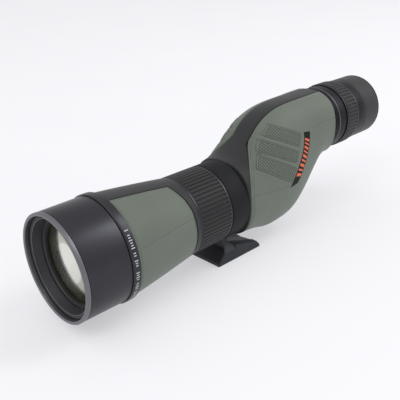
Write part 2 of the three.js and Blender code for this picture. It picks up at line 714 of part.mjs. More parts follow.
// Prism housing, its armour and panels, and the prisms inside
function makeHousing() {
  const group = new THREE.Group();
  const skin = armourThickness + gap;
  const endShare = housingEndWall / housingLength;
  const cavity = housingLoft(skin + housingWall, endShare, 1 - endShare, 0, 8);
  const boreReach = 2 * housingEndWall;
  const frontBore = plug(neckRadius + gap, housingFront - 1, housingFront + boreReach);
  const backBore = plug(eyepieceTubeRadius + gap, housingRear - boreReach, housingRear + 1)
    .translate([0, 0, eyepieceRise]);
  group.add(mesh('prism_housing',
    housingLoft(skin).subtract(cavity).subtract(frontBore).subtract(backBore), 'casting'));

  const shell = housingLoft(0).subtract(housingLoft(armourThickness, 0, 1, 1));
  const reach = 2 * (neckRadius + skin);
  const corners = panelShoulder.map(([station, height]) => new THREE.Vector2(station, height));
  const edge = new THREE.SplineCurve(corners).getPoints(14);
  const panelRear = housingRear + 1;
  const outline = (grow) => {
    const front = housingFront + panelFrontEdge - grow;
    const line = edge.map((p) => [front + p.x, p.y + grow]);
    return [[front, -reach], ...line, [panelRear, line.at(-1)[1]], [panelRear, -reach]];
  };
  const left = acrossX(outline(0), stripHalfWidth, reach);
  const right = acrossX(outline(0), -reach, -stripHalfWidth);
  const leftHole = acrossX(outline(gap), stripHalfWidth - gap, reach);
  const rightHole = acrossX(outline(gap), -reach, -stripHalfWidth + gap);
  group.add(mesh('housing_armour', shell.subtract(leftHole).subtract(rightHole), 'rubber'));

  const badgePoints = [badgeFrontEdge, badgeRearEdge].flatMap((edgePoints) => {
    const bends = edgePoints.map(([station, height]) => new THREE.Vector2(housingFront + station, height));
    return new THREE.QuadraticBezierCurve(...bends).getPoints(4).map((p) => [p.x, p.y]);
  });
  const recessPoints = growOutline(badgePoints, gap);
  const badgeSkin = housingLoft(-badgeProud).subtract(housingLoft(badgeSink, 0, 1, 1));
  const recessSkin = housingLoft(-1).subtract(housingLoft(badgeSink + badgeSeat, 0, 1, 1));
  for (const [name, region, span] of [
    ['left', left, [badgeInnerEdge, reach]],
    ['right', right, [-reach, -badgeInnerEdge]],
  ]) {
    const recess = recessSkin.intersect(acrossX(recessPoints, ...span));
    group.add(mesh(`housing_panel_${name}`, shell.intersect(region).subtract(recess), 'greenArmour'));
    group.add(mesh(`badge_strip_${name}`, badgeSkin.intersect(acrossX(badgePoints, ...span)), 'badge'));
  }
  return group;
}

// Moves each edge of a closed outline outwards by the same distance.
function growOutline(outline, distance) {
  const count = outline.length;
  const area = outline.reduce((sum, p, i) => {
    const q = outline[(i + 1) % count];
    return sum + p[0] * q[1] - q[0] * p[1];
  }, 0);
  const turn = Math.sign(area);
  return outline.map((p, i) => {
    const before = outline[(i + count - 1) % count];
    const after = outline[(i + 1) % count];
    const first = new THREE.Vector2(p[0] - before[0], p[1] - before[1]).normalize();
    const second = new THREE.Vector2(after[0] - p[0], after[1] - p[1]).normalize();
    const normal = new THREE.Vector2(first.y + second.y, -first.x - second.x).normalize().multiplyScalar(turn);
    const reach = distance / Math.max(0.4, Math.sqrt((1 + first.dot(second)) / 2));
    return [p[0] + normal.x * reach, p[1] + normal.y * reach];
  });
}

// Two roof-shaped prisms turned 45 degrees lift the axis by the eyepiece rise.
function makePrisms() {
  const group = new THREE.Group();
  const half = (eyepieceRise / Math.SQRT2 + prismThickness) / 2 - prismEdgeTrim;
  const station = housingFront + housingLength / 2 - prismForward;
  const round = prismThickness / 2;
  const ends = half - round;
  const build = (lean, centre, direction) => {
    const shape = new THREE.Shape([
      new THREE.Vector2(-half, 0), new THREE.Vector2(half, 0), new THREE.Vector2(half, 1),
      new THREE.Vector2(1, half), new THREE.Vector2(-1, half), new THREE.Vector2(-half, 1),
    ]);
    const wedge = new THREE.ExtrudeGeometry(shape, { depth: prismThickness, bevelEnabled: false });
    wedge.translate(0, 0, -round);
    if (direction < 0) wedge.rotateX(Math.PI);
    const middleBlock = box([-ends, ends], [-half - 2, half + 2], [-round, round]);
    const end = plug(round, -half - 2, half + 2, holeSides);
    const rounded = middleBlock.add(end.translate([ends, 0, 0])).add(end.translate([-ends, 0, 0]));
    return toSolid(wedge).intersect(rounded)
      .rotate([0, -lean, 0])
      .translate([centre[0], station + direction * (prismPlateThickness / 2 + gap), centre[1]]);
  };
  const step = eyepieceRise / 4;
  group.add(mesh('rear_prism', build(45, [step, step], 1), 'prismGlass'));
  group.add(mesh('front_prism', build(135, [step, 3 * step], -1), 'prismGlass'));

  // Plate between the prisms: follows the housing's inside and is open where light passes
  const part = (station - housingFront) / housingLength;
  const span = prismPlateThickness / housingLength / 2;
  const inside = armourThickness + housingWall + 3 * gap;
  const slab = housingLoft(inside, part - span, part + span, 0, 2);
  const hole = plug(round - 1, station - 3, station + 3, holeSides);
  const plate = [[0, 0], [2 * step, 2 * step], [0, 4 * step]]
    .reduce((solid, [x, z]) => solid.subtract(hole.translate([x, 0, z])), slab);
  group.add(mesh('prism_plate', plate, 'casting'));
  return group;
}

// Fixed part of the eyepiece, all on its own axis
function makeEyepiece() {
  const group = new THREE.Group();
  group.position.z = eyepieceRise;
  const tubeFront = housingRear - eyepieceTenon;
  group.add(mesh('eyepiece_tube',
    ring(eyepieceBore, eyepieceTubeRadius, tubeFront, eyepieceTubeRear), 'innerBlack'));
  const bore = eyepieceTubeRadius + gap;
  for (const [name, inner, depth, front, length] of [
    ['eyepiece_base_ring', bore, baseRingDepth, baseRingFront, baseRingLength],
    ['eyepiece_flange_ring', bore, flangeRingDepth, flangeFront, flangeRingLength],
    ['eyepiece_rear_ring', bore + guideWall + gap, rearRingDepth, rearRingFront, rearRingLength],
  ]) {
    group.add(mesh(name, softRing(inner, eyepieceTubeRadius + depth, front, front + length), 'anodised'));
  }
  const cellOuter = eyepieceBore - gap;
  const fieldBore = cellOuter - fieldCellWall;
  const fieldFront = tubeFront + 1;
  group.add(mesh('field_lens_cell',
    ring(fieldBore + gap, cellOuter, fieldFront, fieldFront + fieldCellLength, innerSides), 'innerBlack'));
  group.add(mesh('field_lens', lens(fieldBore - gap, fieldFront + 0.5, 5, 1.5, 0), 'glass'));
  const eyeBore = cellOuter - eyeCellWall;
  const eyeRadius = eyeBore - gap;
  const eyeRear = eyepieceTubeRear - eyeCellSetback;
  const eyeFront = eyeRear - eyeCellLength;
  group.add(mesh('eye_lens_cell', turned([
    [eyeBore, eyeFront], [cellOuter, eyeFront], [cellOuter, eyeRear],
    [eyeRadius + 2.5, eyeRear], [eyeRadius - 1, eyeRear - 1.5], [eyeRadius - 1, eyeRear - 1.9],
    [eyeBore, eyeRear - 1.9],
  ], innerSides), 'innerBlack'));
  group.add(mesh('eye_lens', lens(eyeRadius, eyeFront + 1, 7, 2, 1.6), 'glass'));
  return group;
}

function makeZoomRing() {
  const group = new THREE.Group();
  group.position.z = eyepieceRise;
  const inner = eyepieceTubeRadius + gap;
  const outer = inner + zoomSleeveWall;
  const flange = zoomRingRadius - gripLipDrop;
  group.add(mesh('zoom_sleeve', turned([
    [inner, zoomFront], [flange, zoomFront], [flange, zoomFront + gripLip],
    [outer, zoomFront + gripLip], [outer, zoomRear - gripLip],
    [flange, zoomRear - gripLip], [flange, zoomRear], [inner, zoomRear],
  ]), 'anodised'));
  const gripFrom = zoomFront + gripLip + gap;
  const gripTo = zoomRear - gripLip - gap;
  const grip = ribbedGrip(outer + gap, zoomRingRadius, gripFrom, gripTo, zoomRibCount);
  group.add(mesh('zoom_grip', grip, 'rubber'));
  return group;
}

function makeZoomCell(name, from) {
  const group = new THREE.Group();
  group.position.z = eyepieceRise;
  const outer = eyepieceBore - slideGap;
  const bore = outer - zoomCellWall;
  const lensRadius = bore - gap;
  const to = from + zoomCellLength;
  group.add(mesh(`zoom_cell_${name}`, turned([
    [bore, from], [outer, from], [outer, to],
    [lensRadius - 1.5, to], [lensRadius - 1.5, to - 1.5], [bore, to - 1.5],
  ], innerSides), 'innerBlack'));
  group.add(mesh(`zoom_lens_${name}`, lens(lensRadius, from + 0.6, 4.4, 1.2, 1.2), 'glass'));
  return group;
}

// The guide turns with the eyecup, and the eyecup rises on it
function makeEyecupGuide() {
  const group = new THREE.Group();
  group.position.z = eyepieceRise;
  const inner = eyepieceTubeRadius + gap;
  const guide = ring(inner, inner + guideWall - gap, rearRingFront + guideSetback, eyepieceTubeRear);
  group.add(mesh('eyecup_guide', guide, 'polymer'));
  return group;
}

function makeEyecup() {
  const group = new THREE.Group();
  group.position.z = eyepieceRise;
  const inner = eyepieceTubeRadius + guideWall + 2 * gap;
  const innerRear = eyepieceTubeRear + gap;
  const mouth = eyecupMouth + eyecupWall;
  const bodyRear = rimFront - gap;
  group.add(mesh('eyecup_body', turned([
    [inner, eyecupFront], [eyecupRadius - edgeBreak, eyecupFront], [eyecupRadius, eyecupFront + edgeBreak],
    [eyecupRadius, bodyRear], [mouth, bodyRear], [eyecupMouth + mouthStep, innerRear], [inner, innerRear],
  ]), 'polymer'));
  const rimRear = rimFront + eyecupRimLength;
  group.add(mesh('eyecup_rim', turned([
    [mouth + 0.6, rimFront], [eyecupRadius, rimFront], [eyecupRadius - 0.3, rimFront + 1.6],
    [eyecupRadius - 1.6, rimRear - 0.4], [eyecupRadius - 3.4, rimRear],
    [eyecupRadius - 5.2, rimRear - 0.5], [mouth + 0.8, rimFront + 1.4],
  ]), 'rubber'));
  return group;
}

// Assembly
const scope = new THREE.Group();
scope.position.set(0, -footCentre, footDrop);

scope.add(
  makeSunshade(), makeTubeTrim(), makeObjective(), makeBarrelArmour(), makeFocusRing(), makeFocusCell(),
  makeCollar(), makeLockKnob(), makeHousing(), makePrisms(), makeEyepiece(), makeZoomRing(),
  makeZoomCell('front', housingRear + zoomFrontSeat), makeZoomCell('rear', zoomFront + zoomRearSeat),
  makeEyecupGuide(), makeEyecup(),
);

const spottingScope = new THREE.Group();
spottingScope.add(scope);
export default spottingScope;
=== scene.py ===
import json
import math

import bpy
import bmesh
import numpy as np
from mathutils import Euler, Matrix, Vector


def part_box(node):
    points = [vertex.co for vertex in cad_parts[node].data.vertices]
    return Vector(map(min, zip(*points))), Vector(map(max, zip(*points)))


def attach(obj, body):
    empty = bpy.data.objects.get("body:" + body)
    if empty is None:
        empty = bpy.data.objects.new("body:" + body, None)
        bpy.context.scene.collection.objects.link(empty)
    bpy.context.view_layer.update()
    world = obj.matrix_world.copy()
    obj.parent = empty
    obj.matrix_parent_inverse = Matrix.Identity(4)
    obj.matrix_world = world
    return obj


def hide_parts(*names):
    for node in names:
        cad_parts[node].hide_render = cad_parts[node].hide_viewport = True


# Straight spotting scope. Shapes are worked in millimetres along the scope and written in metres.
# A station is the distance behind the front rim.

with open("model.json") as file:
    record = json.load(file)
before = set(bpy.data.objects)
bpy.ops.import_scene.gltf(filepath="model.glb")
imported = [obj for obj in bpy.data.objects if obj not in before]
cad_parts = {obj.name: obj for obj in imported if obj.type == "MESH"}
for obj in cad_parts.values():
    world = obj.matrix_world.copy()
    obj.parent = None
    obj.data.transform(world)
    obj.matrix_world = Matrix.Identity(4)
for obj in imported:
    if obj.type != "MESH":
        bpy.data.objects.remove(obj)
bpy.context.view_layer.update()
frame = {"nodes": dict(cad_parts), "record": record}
mm = 0.001


def boxOf(node):
    low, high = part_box(node)
    return [round(v / mm, 3) for v in low], [round(v / mm, 3) for v in high]


rimY = boxOf("sunshade_front_ring")[0][1]


def spanOf(node):
    # front station, rear station and radius of a round node
    low, high = boxOf(node)
    return low[1] - rimY, high[1] - rimY, (high[2] - low[2]) / 2


def heightOf(node):
    low, high = boxOf(node)
    return (low[2] + high[2]) / 2


mainAxis = heightOf("sunshade_tube")
eyeAxis = heightOf("zoom_sleeve")
print("frame loaded, axes at", mainAxis, "and", eyeAxis, "mm")


# camera, floor and light

camera = {
    "place": (327.4, -314.3, 248.0),
    "azimuth": 48.22,  # turned from +Y towards -X
    "elevation": 23.97,  # looking down
    "roll": 3.12,
    "lens": 54,
    "sensor": 36,
}
studio = {
    "floorSize": 14,
    "floorColour": "#b4b4b6",
    "floorShade": "#b8b8b9",
    "floorGlow": 0.47,
    "skyColour": "#f7f7f9",
    "skyStrength": 0.76,
    "exposure": 0.0,
    "sunWatts": 0.38,
    "sunTilt": (20, -14, 0),
    "sunWidth": 80,
}
lamps = {
    # name: place and aim in metres, size of the softbox, watts
    "leftBox": ((0.3, -1.1, 1.25), (0, 0, 0.05), (0.5, 0.7), 3.2),
    "rearStrip": ((0.95, 1.35, 1.5), (0, 0, 0.06), (0.6, 1.5), 15),
}


def linear(hexColour):
    channels = [int(hexColour[i:i + 2], 16) / 255 for i in (1, 3, 5)]
    return [c / 12.92 if c <= 0.04045 else ((c + 0.055) / 1.055) ** 2.4 for c in channels] + [1.0]


def addNode(tree, kind, settings=None, links=None):
    # settings are attributes or socket values, links are socket: output
    node = tree.nodes.new("ShaderNode" + kind)
    for key, value in (settings or {}).items():
        if isinstance(key, str) and hasattr(node, key):
            setattr(node, key, value)
        else:
            node.inputs[key].default_value = value
    for key, output in (links or {}).items():
        tree.links.new(output, node.inputs[key])
    return node


def newMaterial(name, settings):
    material = bpy.data.materials.new(name)
    material.use_nodes = True
    tree = material.node_tree
    tree.nodes.clear()
    shader = addNode(tree, "BsdfPrincipled", settings)
    addNode(tree, "OutputMaterial", links={"Surface": shader.outputs["BSDF"]})
    place = addNode(tree, "TexCoord").outputs["Object"]
    return material, tree, shader, place


def setCamera():
    data = bpy.data.cameras.new("camera")
    data.lens = camera["lens"]
    data.sensor_width = camera["sensor"]
    data.clip_start = 0.01
    data.clip_end = 50
    rig = bpy.data.objects.new("camera", data)
    bpy.context.scene.collection.objects.link(rig)
    rig.location = Vector(camera["place"]) * mm
    tilt = math.radians(90 - camera["elevation"])
    heading = math.radians(camera["azimuth"])
    turn = Euler((tilt, 0, heading)).to_matrix() @ Matrix.Rotation(math.radians(-camera["roll"]), 3, "Z")
    rig.rotation_euler = turn.to_euler()
    bpy.context.scene.camera = rig


def setStudio():
    world = bpy.data.worlds.new("studio")
    bpy.context.scene.world = world
    world.use_nodes = True
    sky = world.node_tree.nodes["Background"]
    sky.inputs["Color"].default_value = linear(studio["skyColour"])
    sky.inputs["Strength"].default_value = studio["skyStrength"]
    bpy.context.scene.view_settings.view_transform = "Standard"
    bpy.context.scene.view_settings.exposure = studio["exposure"]
    mesh = bpy.data.meshes.new("floor")
    half = studio["floorSize"] / 2
    corners = [(-half, -half, 0), (half, -half, 0), (half, half, 0), (-half, half, 0)]
    mesh.from_pydata(corners, [], [(0, 1, 2, 3)])
    floor = bpy.data.objects.new("floor", mesh)
    floor.location.z = -0.05 * mm
    bpy.context.scene.collection.objects.link(floor)
    # white acrylic lit from below keeps the floor even and its shadows faint
    paper, tree, shader, place = newMaterial("litWhiteAcrylic", {
        "Roughness": 0.9, "Specular IOR Level": 0.1, "Emission Color": linear("#fbfbff"),
        "Emission Strength": studio["floorGlow"],
    })
    tone = addNode(tree, "TexNoise", {"Scale": 6, "Detail": 2}, {"Vector": place})
    mix = addNode(tree, "Mix", {"data_type": "RGBA", 6: linear(studio["floorColour"]),
                                          7: linear(studio["floorShade"])}, {0: tone.outputs["Fac"]})
    tree.links.new(mix.outputs[2], shader.inputs["Base Color"])
    mesh.materials.append(paper)
    soft = bpy.data.lights.new("overhead", "SUN")
    soft.energy = studio["sunWatts"]
    soft.angle = math.radians(studio["sunWidth"])
    overhead = bpy.data.objects.new("overhead", soft)
    overhead.rotation_euler = [math.radians(a) for a in studio["sunTilt"]]
    bpy.context.scene.collection.objects.link(overhead)
    for name, (place, aim, size, watts) in lamps.items():
        light = bpy.data.lights.new(name, "AREA")
        light.shape = "RECTANGLE"
        light.size, light.size_y = size
        light.energy = watts
        lamp = bpy.data.objects.new(name, light)
        bpy.context.scene.collection.objects.link(lamp)
        lamp.location = place
        lamp.rotation_euler = (Vector(aim) - Vector(place)).to_track_quat("-Z", "Y").to_euler()


setCamera()
setStudio()
print("camera, floor and lamps placed")


# finishes

def perMm(size):
    # noise scale for a pattern whose features are this many millimetres across
    return 1 / (size * mm)


def mottled(tree, shader, place, size, detail, colours, gloss=None, warp=0):
    # a soft cloud of two close colours, which may vary the roughness too
    cloud = addNode(tree, "TexNoise", {"Scale": perMm(size), "Detail": detail, "Distortion": warp},
                    {"Vector": place})
    tone = addNode(tree, "Mix", {"data_type": "RGBA", 6: linear(colours[0]), 7: linear(colours[1])},
                   {0: cloud.outputs["Fac"]})
    tree.links.new(tone.outputs[2], shader.inputs["Base Color"])
    if gloss:
        dull = addNode(tree, "MapRange", gloss, {"Value": cloud.outputs["Fac"]})
        tree.links.new(dull.outputs["Result"], shader.inputs["Roughness"])
    return tone.outputs[2]


def raised(tree, shader, height, strength, depth):
    bump = addNode(tree, "Bump", {"Strength": strength, "Distance": depth * mm}, {"Height": height})
    tree.links.new(bump.outputs["Normal"], shader.inputs["Normal"])


def fineGrain(tree, shader, place, size, detail, strength, depth):
    grain = addNode(tree, "TexNoise", {"Scale": perMm(size), "Detail": detail}, {"Vector": place})
    raised(tree, shader, grain.outputs["Fac"], strength, depth)


def rubbed(tree, tone, worn, start, full, most):
    # the tone, paler where edges stand out, and how far each spot stands out
    edge = addNode(tree, "NewGeometry").outputs["Pointiness"]
    rub = addNode(tree, "MapRange", {"From Min": start, "From Max": full, "To Min": 0, "To Max": most},
                  {"Value": edge})
    wear = addNode(tree, "Mix", {"data_type": "RGBA", 7: linear(worn)}, {0: rub.outputs["Result"], 6: tone})
    return wear.outputs[2], edge


def rubberCompound(name, base, worn, shade, grain):
    # moulded rubber: a dull skin with a fine spark-eroded grain, paler where edges rub, with painted shade in
    # its grooves
    # the real grain is about 0.3 mm and is drawn coarser, so that it shows
    material, tree, shader, place = newMaterial(name, {
        "Metallic": 0, "IOR": 1.52, "Specular IOR Level": 0.42, "Sheen Weight": 0.12, "Sheen Roughness": 0.45,
    })
    tone = mottled(tree, shader, place, 38, 3, (base, shade))
    wear, edge = rubbed(tree, tone, worn, 0.52, 0.62, 0.55)
    # painted shade: grooves, seams and creases are painted darker than the skin round them, for the shade in
    # them and for the dust and grease they hold
    grooveShadeAndDust = addNode(tree, "MapRange", {"From Min": 0.38, "From Max": 0.49, "To Min": 0.3, "To Max": 1},
                    {"Value": edge})
    deep = addNode(tree, "VectorMath", {"operation": "SCALE"}, {0: wear, "Scale": grooveShadeAndDust.outputs["Result"]})
    tree.links.new(deep.outputs["Vector"], shader.inputs["Base Color"])
    speck = addNode(tree, "TexNoise", {"Scale": perMm(grain), "Detail": 2}, {"Vector": place})
    dull = addNode(tree, "MapRange", {"To Min": 0.5, "To Max": 0.68}, {"Value": speck.outputs["Fac"]})
    tree.links.new(dull.outputs["Result"], shader.inputs["Roughness"])
    pits = addNode(tree, "TexVoronoi", {"Scale": perMm(grain * 1.1)}, {"Vector": place})
    height = addNode(tree, "Math", {"operation": "MULTIPLY"},
                     {0: pits.outputs["Distance"], 1: speck.outputs["Fac"]})
    raised(tree, shader, height.outputs["Value"], 0.35, 0.09)
    return material


def anodised(name, base, shade, worn, rough, metallic=0.85):
    # bead-blasted, anodised aluminium: an even satin sheen, brighter metal at rubbed edges
    material, tree, shader, place = newMaterial(name, {"Metallic": metallic})
    satin = {"To Min": rough - 0.05, "To Max": rough + 0.07}
    tone = mottled(tree, shader, place, 30, 4, (base, shade), satin)
    wear, edge = rubbed(tree, tone, worn, 0.53, 0.64, 0.7)
    tree.links.new(wear, shader.inputs["Base Color"])
    fineGrain(tree, shader, place, 0.7, 2, 0.12, 0.03)
    return material


def paintedCasting(name, base, shade, rough, coat=0.25, specular=0.5):
    # die-cast aluminium under semi-gloss paint: soft orange peel and a few dull patches
    material, tree, shader, place = newMaterial(name, {
        "Metallic": 0.1, "IOR": 1.5, "Coat Weight": coat, "Coat Roughness": 0.3,
        "Specular IOR Level": specular,
    })
    mottled(tree, shader, place, 22, 3, (base, shade), {"To Min": rough - 0.06, "To Max": rough + 0.1})
    fineGrain(tree, shader, place, 1.4, 1, 0.2, 0.05)
    return material


def mouldedPolymer(name, base, shade, rough, specular=0.5):
    # moulded plastic: dark, slightly glossy, with a faint flow mottle
    material, tree, shader, place = newMaterial(name, {
        "Metallic": 0, "IOR": 1.53, "Specular IOR Level": specular,
    })
    mottled(tree, shader, place, 12, 3, (base, shade), {"To Min": rough - 0.05, "To Max": rough + 0.08}, 0.6)
    fineGrain(tree, shader, place, 0.8, 2, 0.15, 0.04)
    return material


def opticalGlass(name, tint, ior):
    # coated glass: clear, with the faint colour of its coating and a trace of dust
    material, tree, shader, place = newMaterial(name, {"Metallic": 0, "IOR": ior, "Transmission Weight": 1.0})
    mottled(tree, shader, place, 4, 4, (tint, "#ffffff"),
            {"From Min": 0.55, "From Max": 0.9, "To Min": 0.0, "To Max": 0.06})
    return material


coatTintAndPaintedReflection = {
    # distance from the optical axis in mm: how much is mirrored, and its tint; the rings paint the
    # reflection, bright in the middle and olive at the rim, over the coating's own tint
    "rings": [(0, 0.86, "#f1f1e8"), (14, 0.84, "#ecece2"), (15.5, 0.66, "#d3d4c4"), (23, 0.6, "#c9cab8"),
              (24.5, 0.6, "#a9ab8b"), (32, 0.56, "#979972")],
    "reach": 33,
}


def glassWithPaintedReflection(name):
    # painted reflection: broad soft rings of mirror and tint, bright in the middle and olive at the rim of
    # the front lens, partly the coating's own colour
    material, tree, shader, place = newMaterial(name, {"Metallic": 0, "IOR": 1.6, "Transmission Weight": 1.0})
    centre = addNode(tree, "VectorMath", {"operation": "MULTIPLY_ADD", 1: (1, 0, 1),
                                                    2: (0, 0, -mainAxis * mm)}, {0: place})
    reach = addNode(tree, "VectorMath", {"operation": "LENGTH"}, {0: centre.outputs["Vector"]})
    share = addNode(tree, "Math", {"operation": "DIVIDE", 1: coatTintAndPaintedReflection["reach"] * mm},
                    {0: reach.outputs["Value"]})
    dust = addNode(tree, "TexNoise", {"Scale": perMm(5), "Detail": 3}, {"Vector": place})
    ramps = []
    for kind in ("tint", "mirror"):
        ramp = addNode(tree, "ValToRGB", links={"Fac": share.outputs["Value"]})
        stops = ramp.color_ramp.elements
        for k, (radius, amount, colour) in enumerate(coatTintAndPaintedReflection["rings"]):
            stop = stops[0] if k == 0 else stops.new(radius / coatTintAndPaintedReflection["reach"])
            stop.color = linear(colour) if kind == "tint" else (amount, amount, amount, 1)
        stops.remove(stops[-1])
        ramps.append(ramp)
    haze = addNode(tree, "MapRange", {"To Min": 0.08, "To Max": 0.16}, {"Value": dust.outputs["Fac"]})
    tree.links.new(haze.outputs["Result"], shader.inputs["Roughness"])
    tree.links.new(ramps[0].outputs["Color"], shader.inputs["Base Color"])
    tree.links.new(ramps[1].outputs["Color"], shader.inputs["Metallic"])
    return material


def printedInk(name, colour, thin):
    # pad-printed enamel ink: flat colour, a little thin in places
    material, tree, shader, place = newMaterial(name, {"Metallic": 0, "IOR": 1.5})
    mottled(tree, shader, place, 1.6, 3, (colour, thin), {"To Min": 0.35, "To Max": 0.55})
    return material


def turnedSteel(name):
    # turned stainless steel: fine tool rings and a bright, slightly streaked reflection
    material, tree, shader, place = newMaterial(name, {"Metallic": 1, "Roughness": 0.28})
    rings = addNode(tree, "TexWave", {"wave_type": "RINGS", "rings_direction": "Z", "Scale": perMm(2.4),
                                      "Distortion": 0.4}, {"Vector": place}).outputs["Fac"]
    tone = addNode(tree, "Mix", {"data_type": "RGBA", 6: linear("#b7babd"), 7: linear("#8f9296")}, {0: rings})
    tree.links.new(tone.outputs[2], shader.inputs["Base Color"])
    raised(tree, shader, rings, 0.2, 0.02)
    return material


finish = {
    "greenRubber": rubberCompound("mouldedGreenRubber", "#676f64", "#979e94", "#5b6359", 0.9),
    "blackRubber": rubberCompound("mouldedBlackRubber", "#1c1d1f", "#3c3d41", "#161719", 0.9),
    "gripRubber": rubberCompound("ribbedBlackRubber", "#18191b", "#47484c", "#131315", 0.8),
    "anodised": anodised("satinBlackAnodisedAluminium", "#404045", "#38383d", "#7d7e83", 0.36),
    # lighter grey for the front lip, a bevel and edge bands: partly a paler metal, partly a painted highlight
    # where edges catch the light
    "brightEdge": anodised("greyAnodisedAluminiumPaintedHighlight", "#77787b", "#6e6f72", "#98999c", 0.38),
    "lensBlack": anodised("matteBlackAnodisedAluminium", "#47474b", "#3e3e42", "#5f6064", 0.5, 0.6),
    "casting": paintedCasting("blackPaintedCasting", "#2a2b2e", "#222326", 0.42),
    "foot": anodised("darkAnodisedFoot", "#36373c", "#2f3035", "#595b60", 0.5, 0.6),
    "collarBlack": paintedCasting("mattBlackCollarPaint", "#151618", "#111214", 0.6, 0, 0.25),
    "ringBlack": anodised("deepBlackAnodisedAluminium", "#26262a", "#202024", "#77787c", 0.45),
    "nylon": mouldedPolymer("blackGlassFilledNylon", "#1d1e20", "#17181a", 0.34),
    "softRim": rubberCompound("softEyecupRubber", "#2b2b2e", "#545558", "#242427", 0.8),
    "badge": mouldedPolymer("satinBlackPolycarbonate", "#121313", "#0e0f0f", 0.5, 0.12),
    "frontGlass": glassWithPaintedReflection("crownGlassPaintedReflection"),
    "glass": opticalGlass("coatedOpticalGlass", "#eef3ea", 1.62),
    "prismGlass": opticalGlass("polishedPrismGlass", "#f2f6f5", 1.57),
    "whiteInk": printedInk("whiteEnamelInk", "#d9dadb", "#b9babc"),
    "orangeInk": printedInk("orangeEnamelInk", "#e4612f", "#c9502a"),
    "steel": turnedSteel("turnedStainlessSteel"),
}
slotFinish = {
    "satin_black_metal": "anodised", "bright_edge": "brightEdge", "lens_barrel_black": "lensBlack",
    "black_rubber": "blackRubber", "green_armour": "greenRubber", "casting_black": "casting",
    "foot_metal": "foot", "coated_glass": "glass", "prism_glass": "prismGlass", "badge_black": "badge",
    "steel": "steel", "polymer": "nylon",
}
print(len(finish), "finishes made")


# mesh tools

def addPiece(name, points, faces, finishes, body, nodes=(), sharp=32, faceFinish=None, weld=False):
    # points in millimetres; finishes is one name or a list that faceFinish picks from
    mesh = bpy.data.meshes.new(name)
    mesh.from_pydata((np.asarray(points, float) * mm).tolist(), [], faces)
    names = [finishes] if isinstance(finishes, str) else finishes
    for key in names:
        mesh.materials.append(finish[key])
    if faceFinish is not None:
        mesh.polygons.foreach_set("material_index", faceFinish)
    if weld:
        shape = bmesh.new()
        shape.from_mesh(mesh)
        bmesh.ops.remove_doubles(shape, verts=shape.verts, dist=0.0005 * mm)
        shape.to_mesh(mesh)
        shape.free()
    piece = bpy.data.objects.new(name, mesh)
    bpy.context.scene.collection.objects.link(piece)
    mesh.shade_smooth()
    mesh.set_sharp_from_angle(angle=math.radians(sharp))
    dressPiece(piece, body, nodes)
    return piece


def dressPiece(piece, body, nodes=()):
    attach(piece, body)
    if nodes:
        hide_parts(*nodes)


def rounded(corners, steps=5):
    # corners are (radius, station, fillet); each fillet becomes a smooth bend
    outline = []
    count = len(corners)
    for i, (radius, station, fillet) in enumerate(corners):
        here = Vector((radius, station))
        if fillet <= 0:
            outline.append(here)
            continue
        back = Vector(corners[i - 1][:2]) - here
        ahead = Vector(corners[(i + 1) % count][:2]) - here
        half = max(0.2, back.angle(ahead) / 2)
        cut = min(fillet / math.tan(half), back.length * 0.48, ahead.length * 0.48)
        first, last = here + back.normalized() * cut, here + ahead.normalized() * cut
        for k in range(steps + 1):
            t = k / steps
            outline.append(first * (1 - t) ** 2 + here * (2 * t * (1 - t)) + last * t * t)
    return [(p.x, p.y) for p in outline]


def alongScope(axis):
    # lays a turned outline along the scope, about the axis at that height
    return lambda side, station, up: (side, station + rimY, axis + up)


def turned(name, outline, lay, finishes, body, nodes=(), sides=144, ribs=None, pick=None,
           sharp=32):
    # outline: closed list of (radius, station); ribs(radius, station, angle) gives a new radius;
    # pick(radius, station) gives the number of a face's finish
    profile = np.array(outline, float)
    angles = np.arange(sides) * 2 * np.pi / sides
    radius = np.repeat(profile[:, :1], sides, 1)
    station = np.repeat(profile[:, 1:], sides, 1)
    if ribs:
        radius = ribs(radius, station, angles[None, :])
    laid = lay(radius * np.sin(angles), station, radius * np.cos(angles))
    points = np.stack(np.broadcast_arrays(*laid), -1)
    rows = len(profile)
    i, k = np.meshgrid(np.arange(rows), np.arange(sides), indexing="ij")
    j, m = (i + 1) % rows, (k + 1) % sides
    faces = np.stack([i * sides + k, i * sides + m, j * sides + m, j * sides + k], -1).reshape(-1, 4)
    flat = points.reshape(-1, 3)
    if solidVolume(flat, faces) < 0:
        faces = faces[:, ::-1]
    chosen = None
    if pick:
        middle = (profile + np.roll(profile, -1, 0)) / 2
        chosen = np.repeat([pick(r, s) for r, s in middle], sides).astype(np.int32)
    onAxis = profile[:, 0].min() < 1e-6
    return addPiece(name, flat, faces.tolist(), finishes, body, nodes, sharp, chosen, onAxis)


def solidVolume(points, faces):
    corner = points[faces]
    first = np.einsum("ij,ij->i", corner[:, 0], np.cross(corner[:, 1], corner[:, 2]))
    second = np.einsum("ij,ij->i", corner[:, 0], np.cross(corner[:, 2], corner[:, 3]))
    return (first + second).sum() / 6


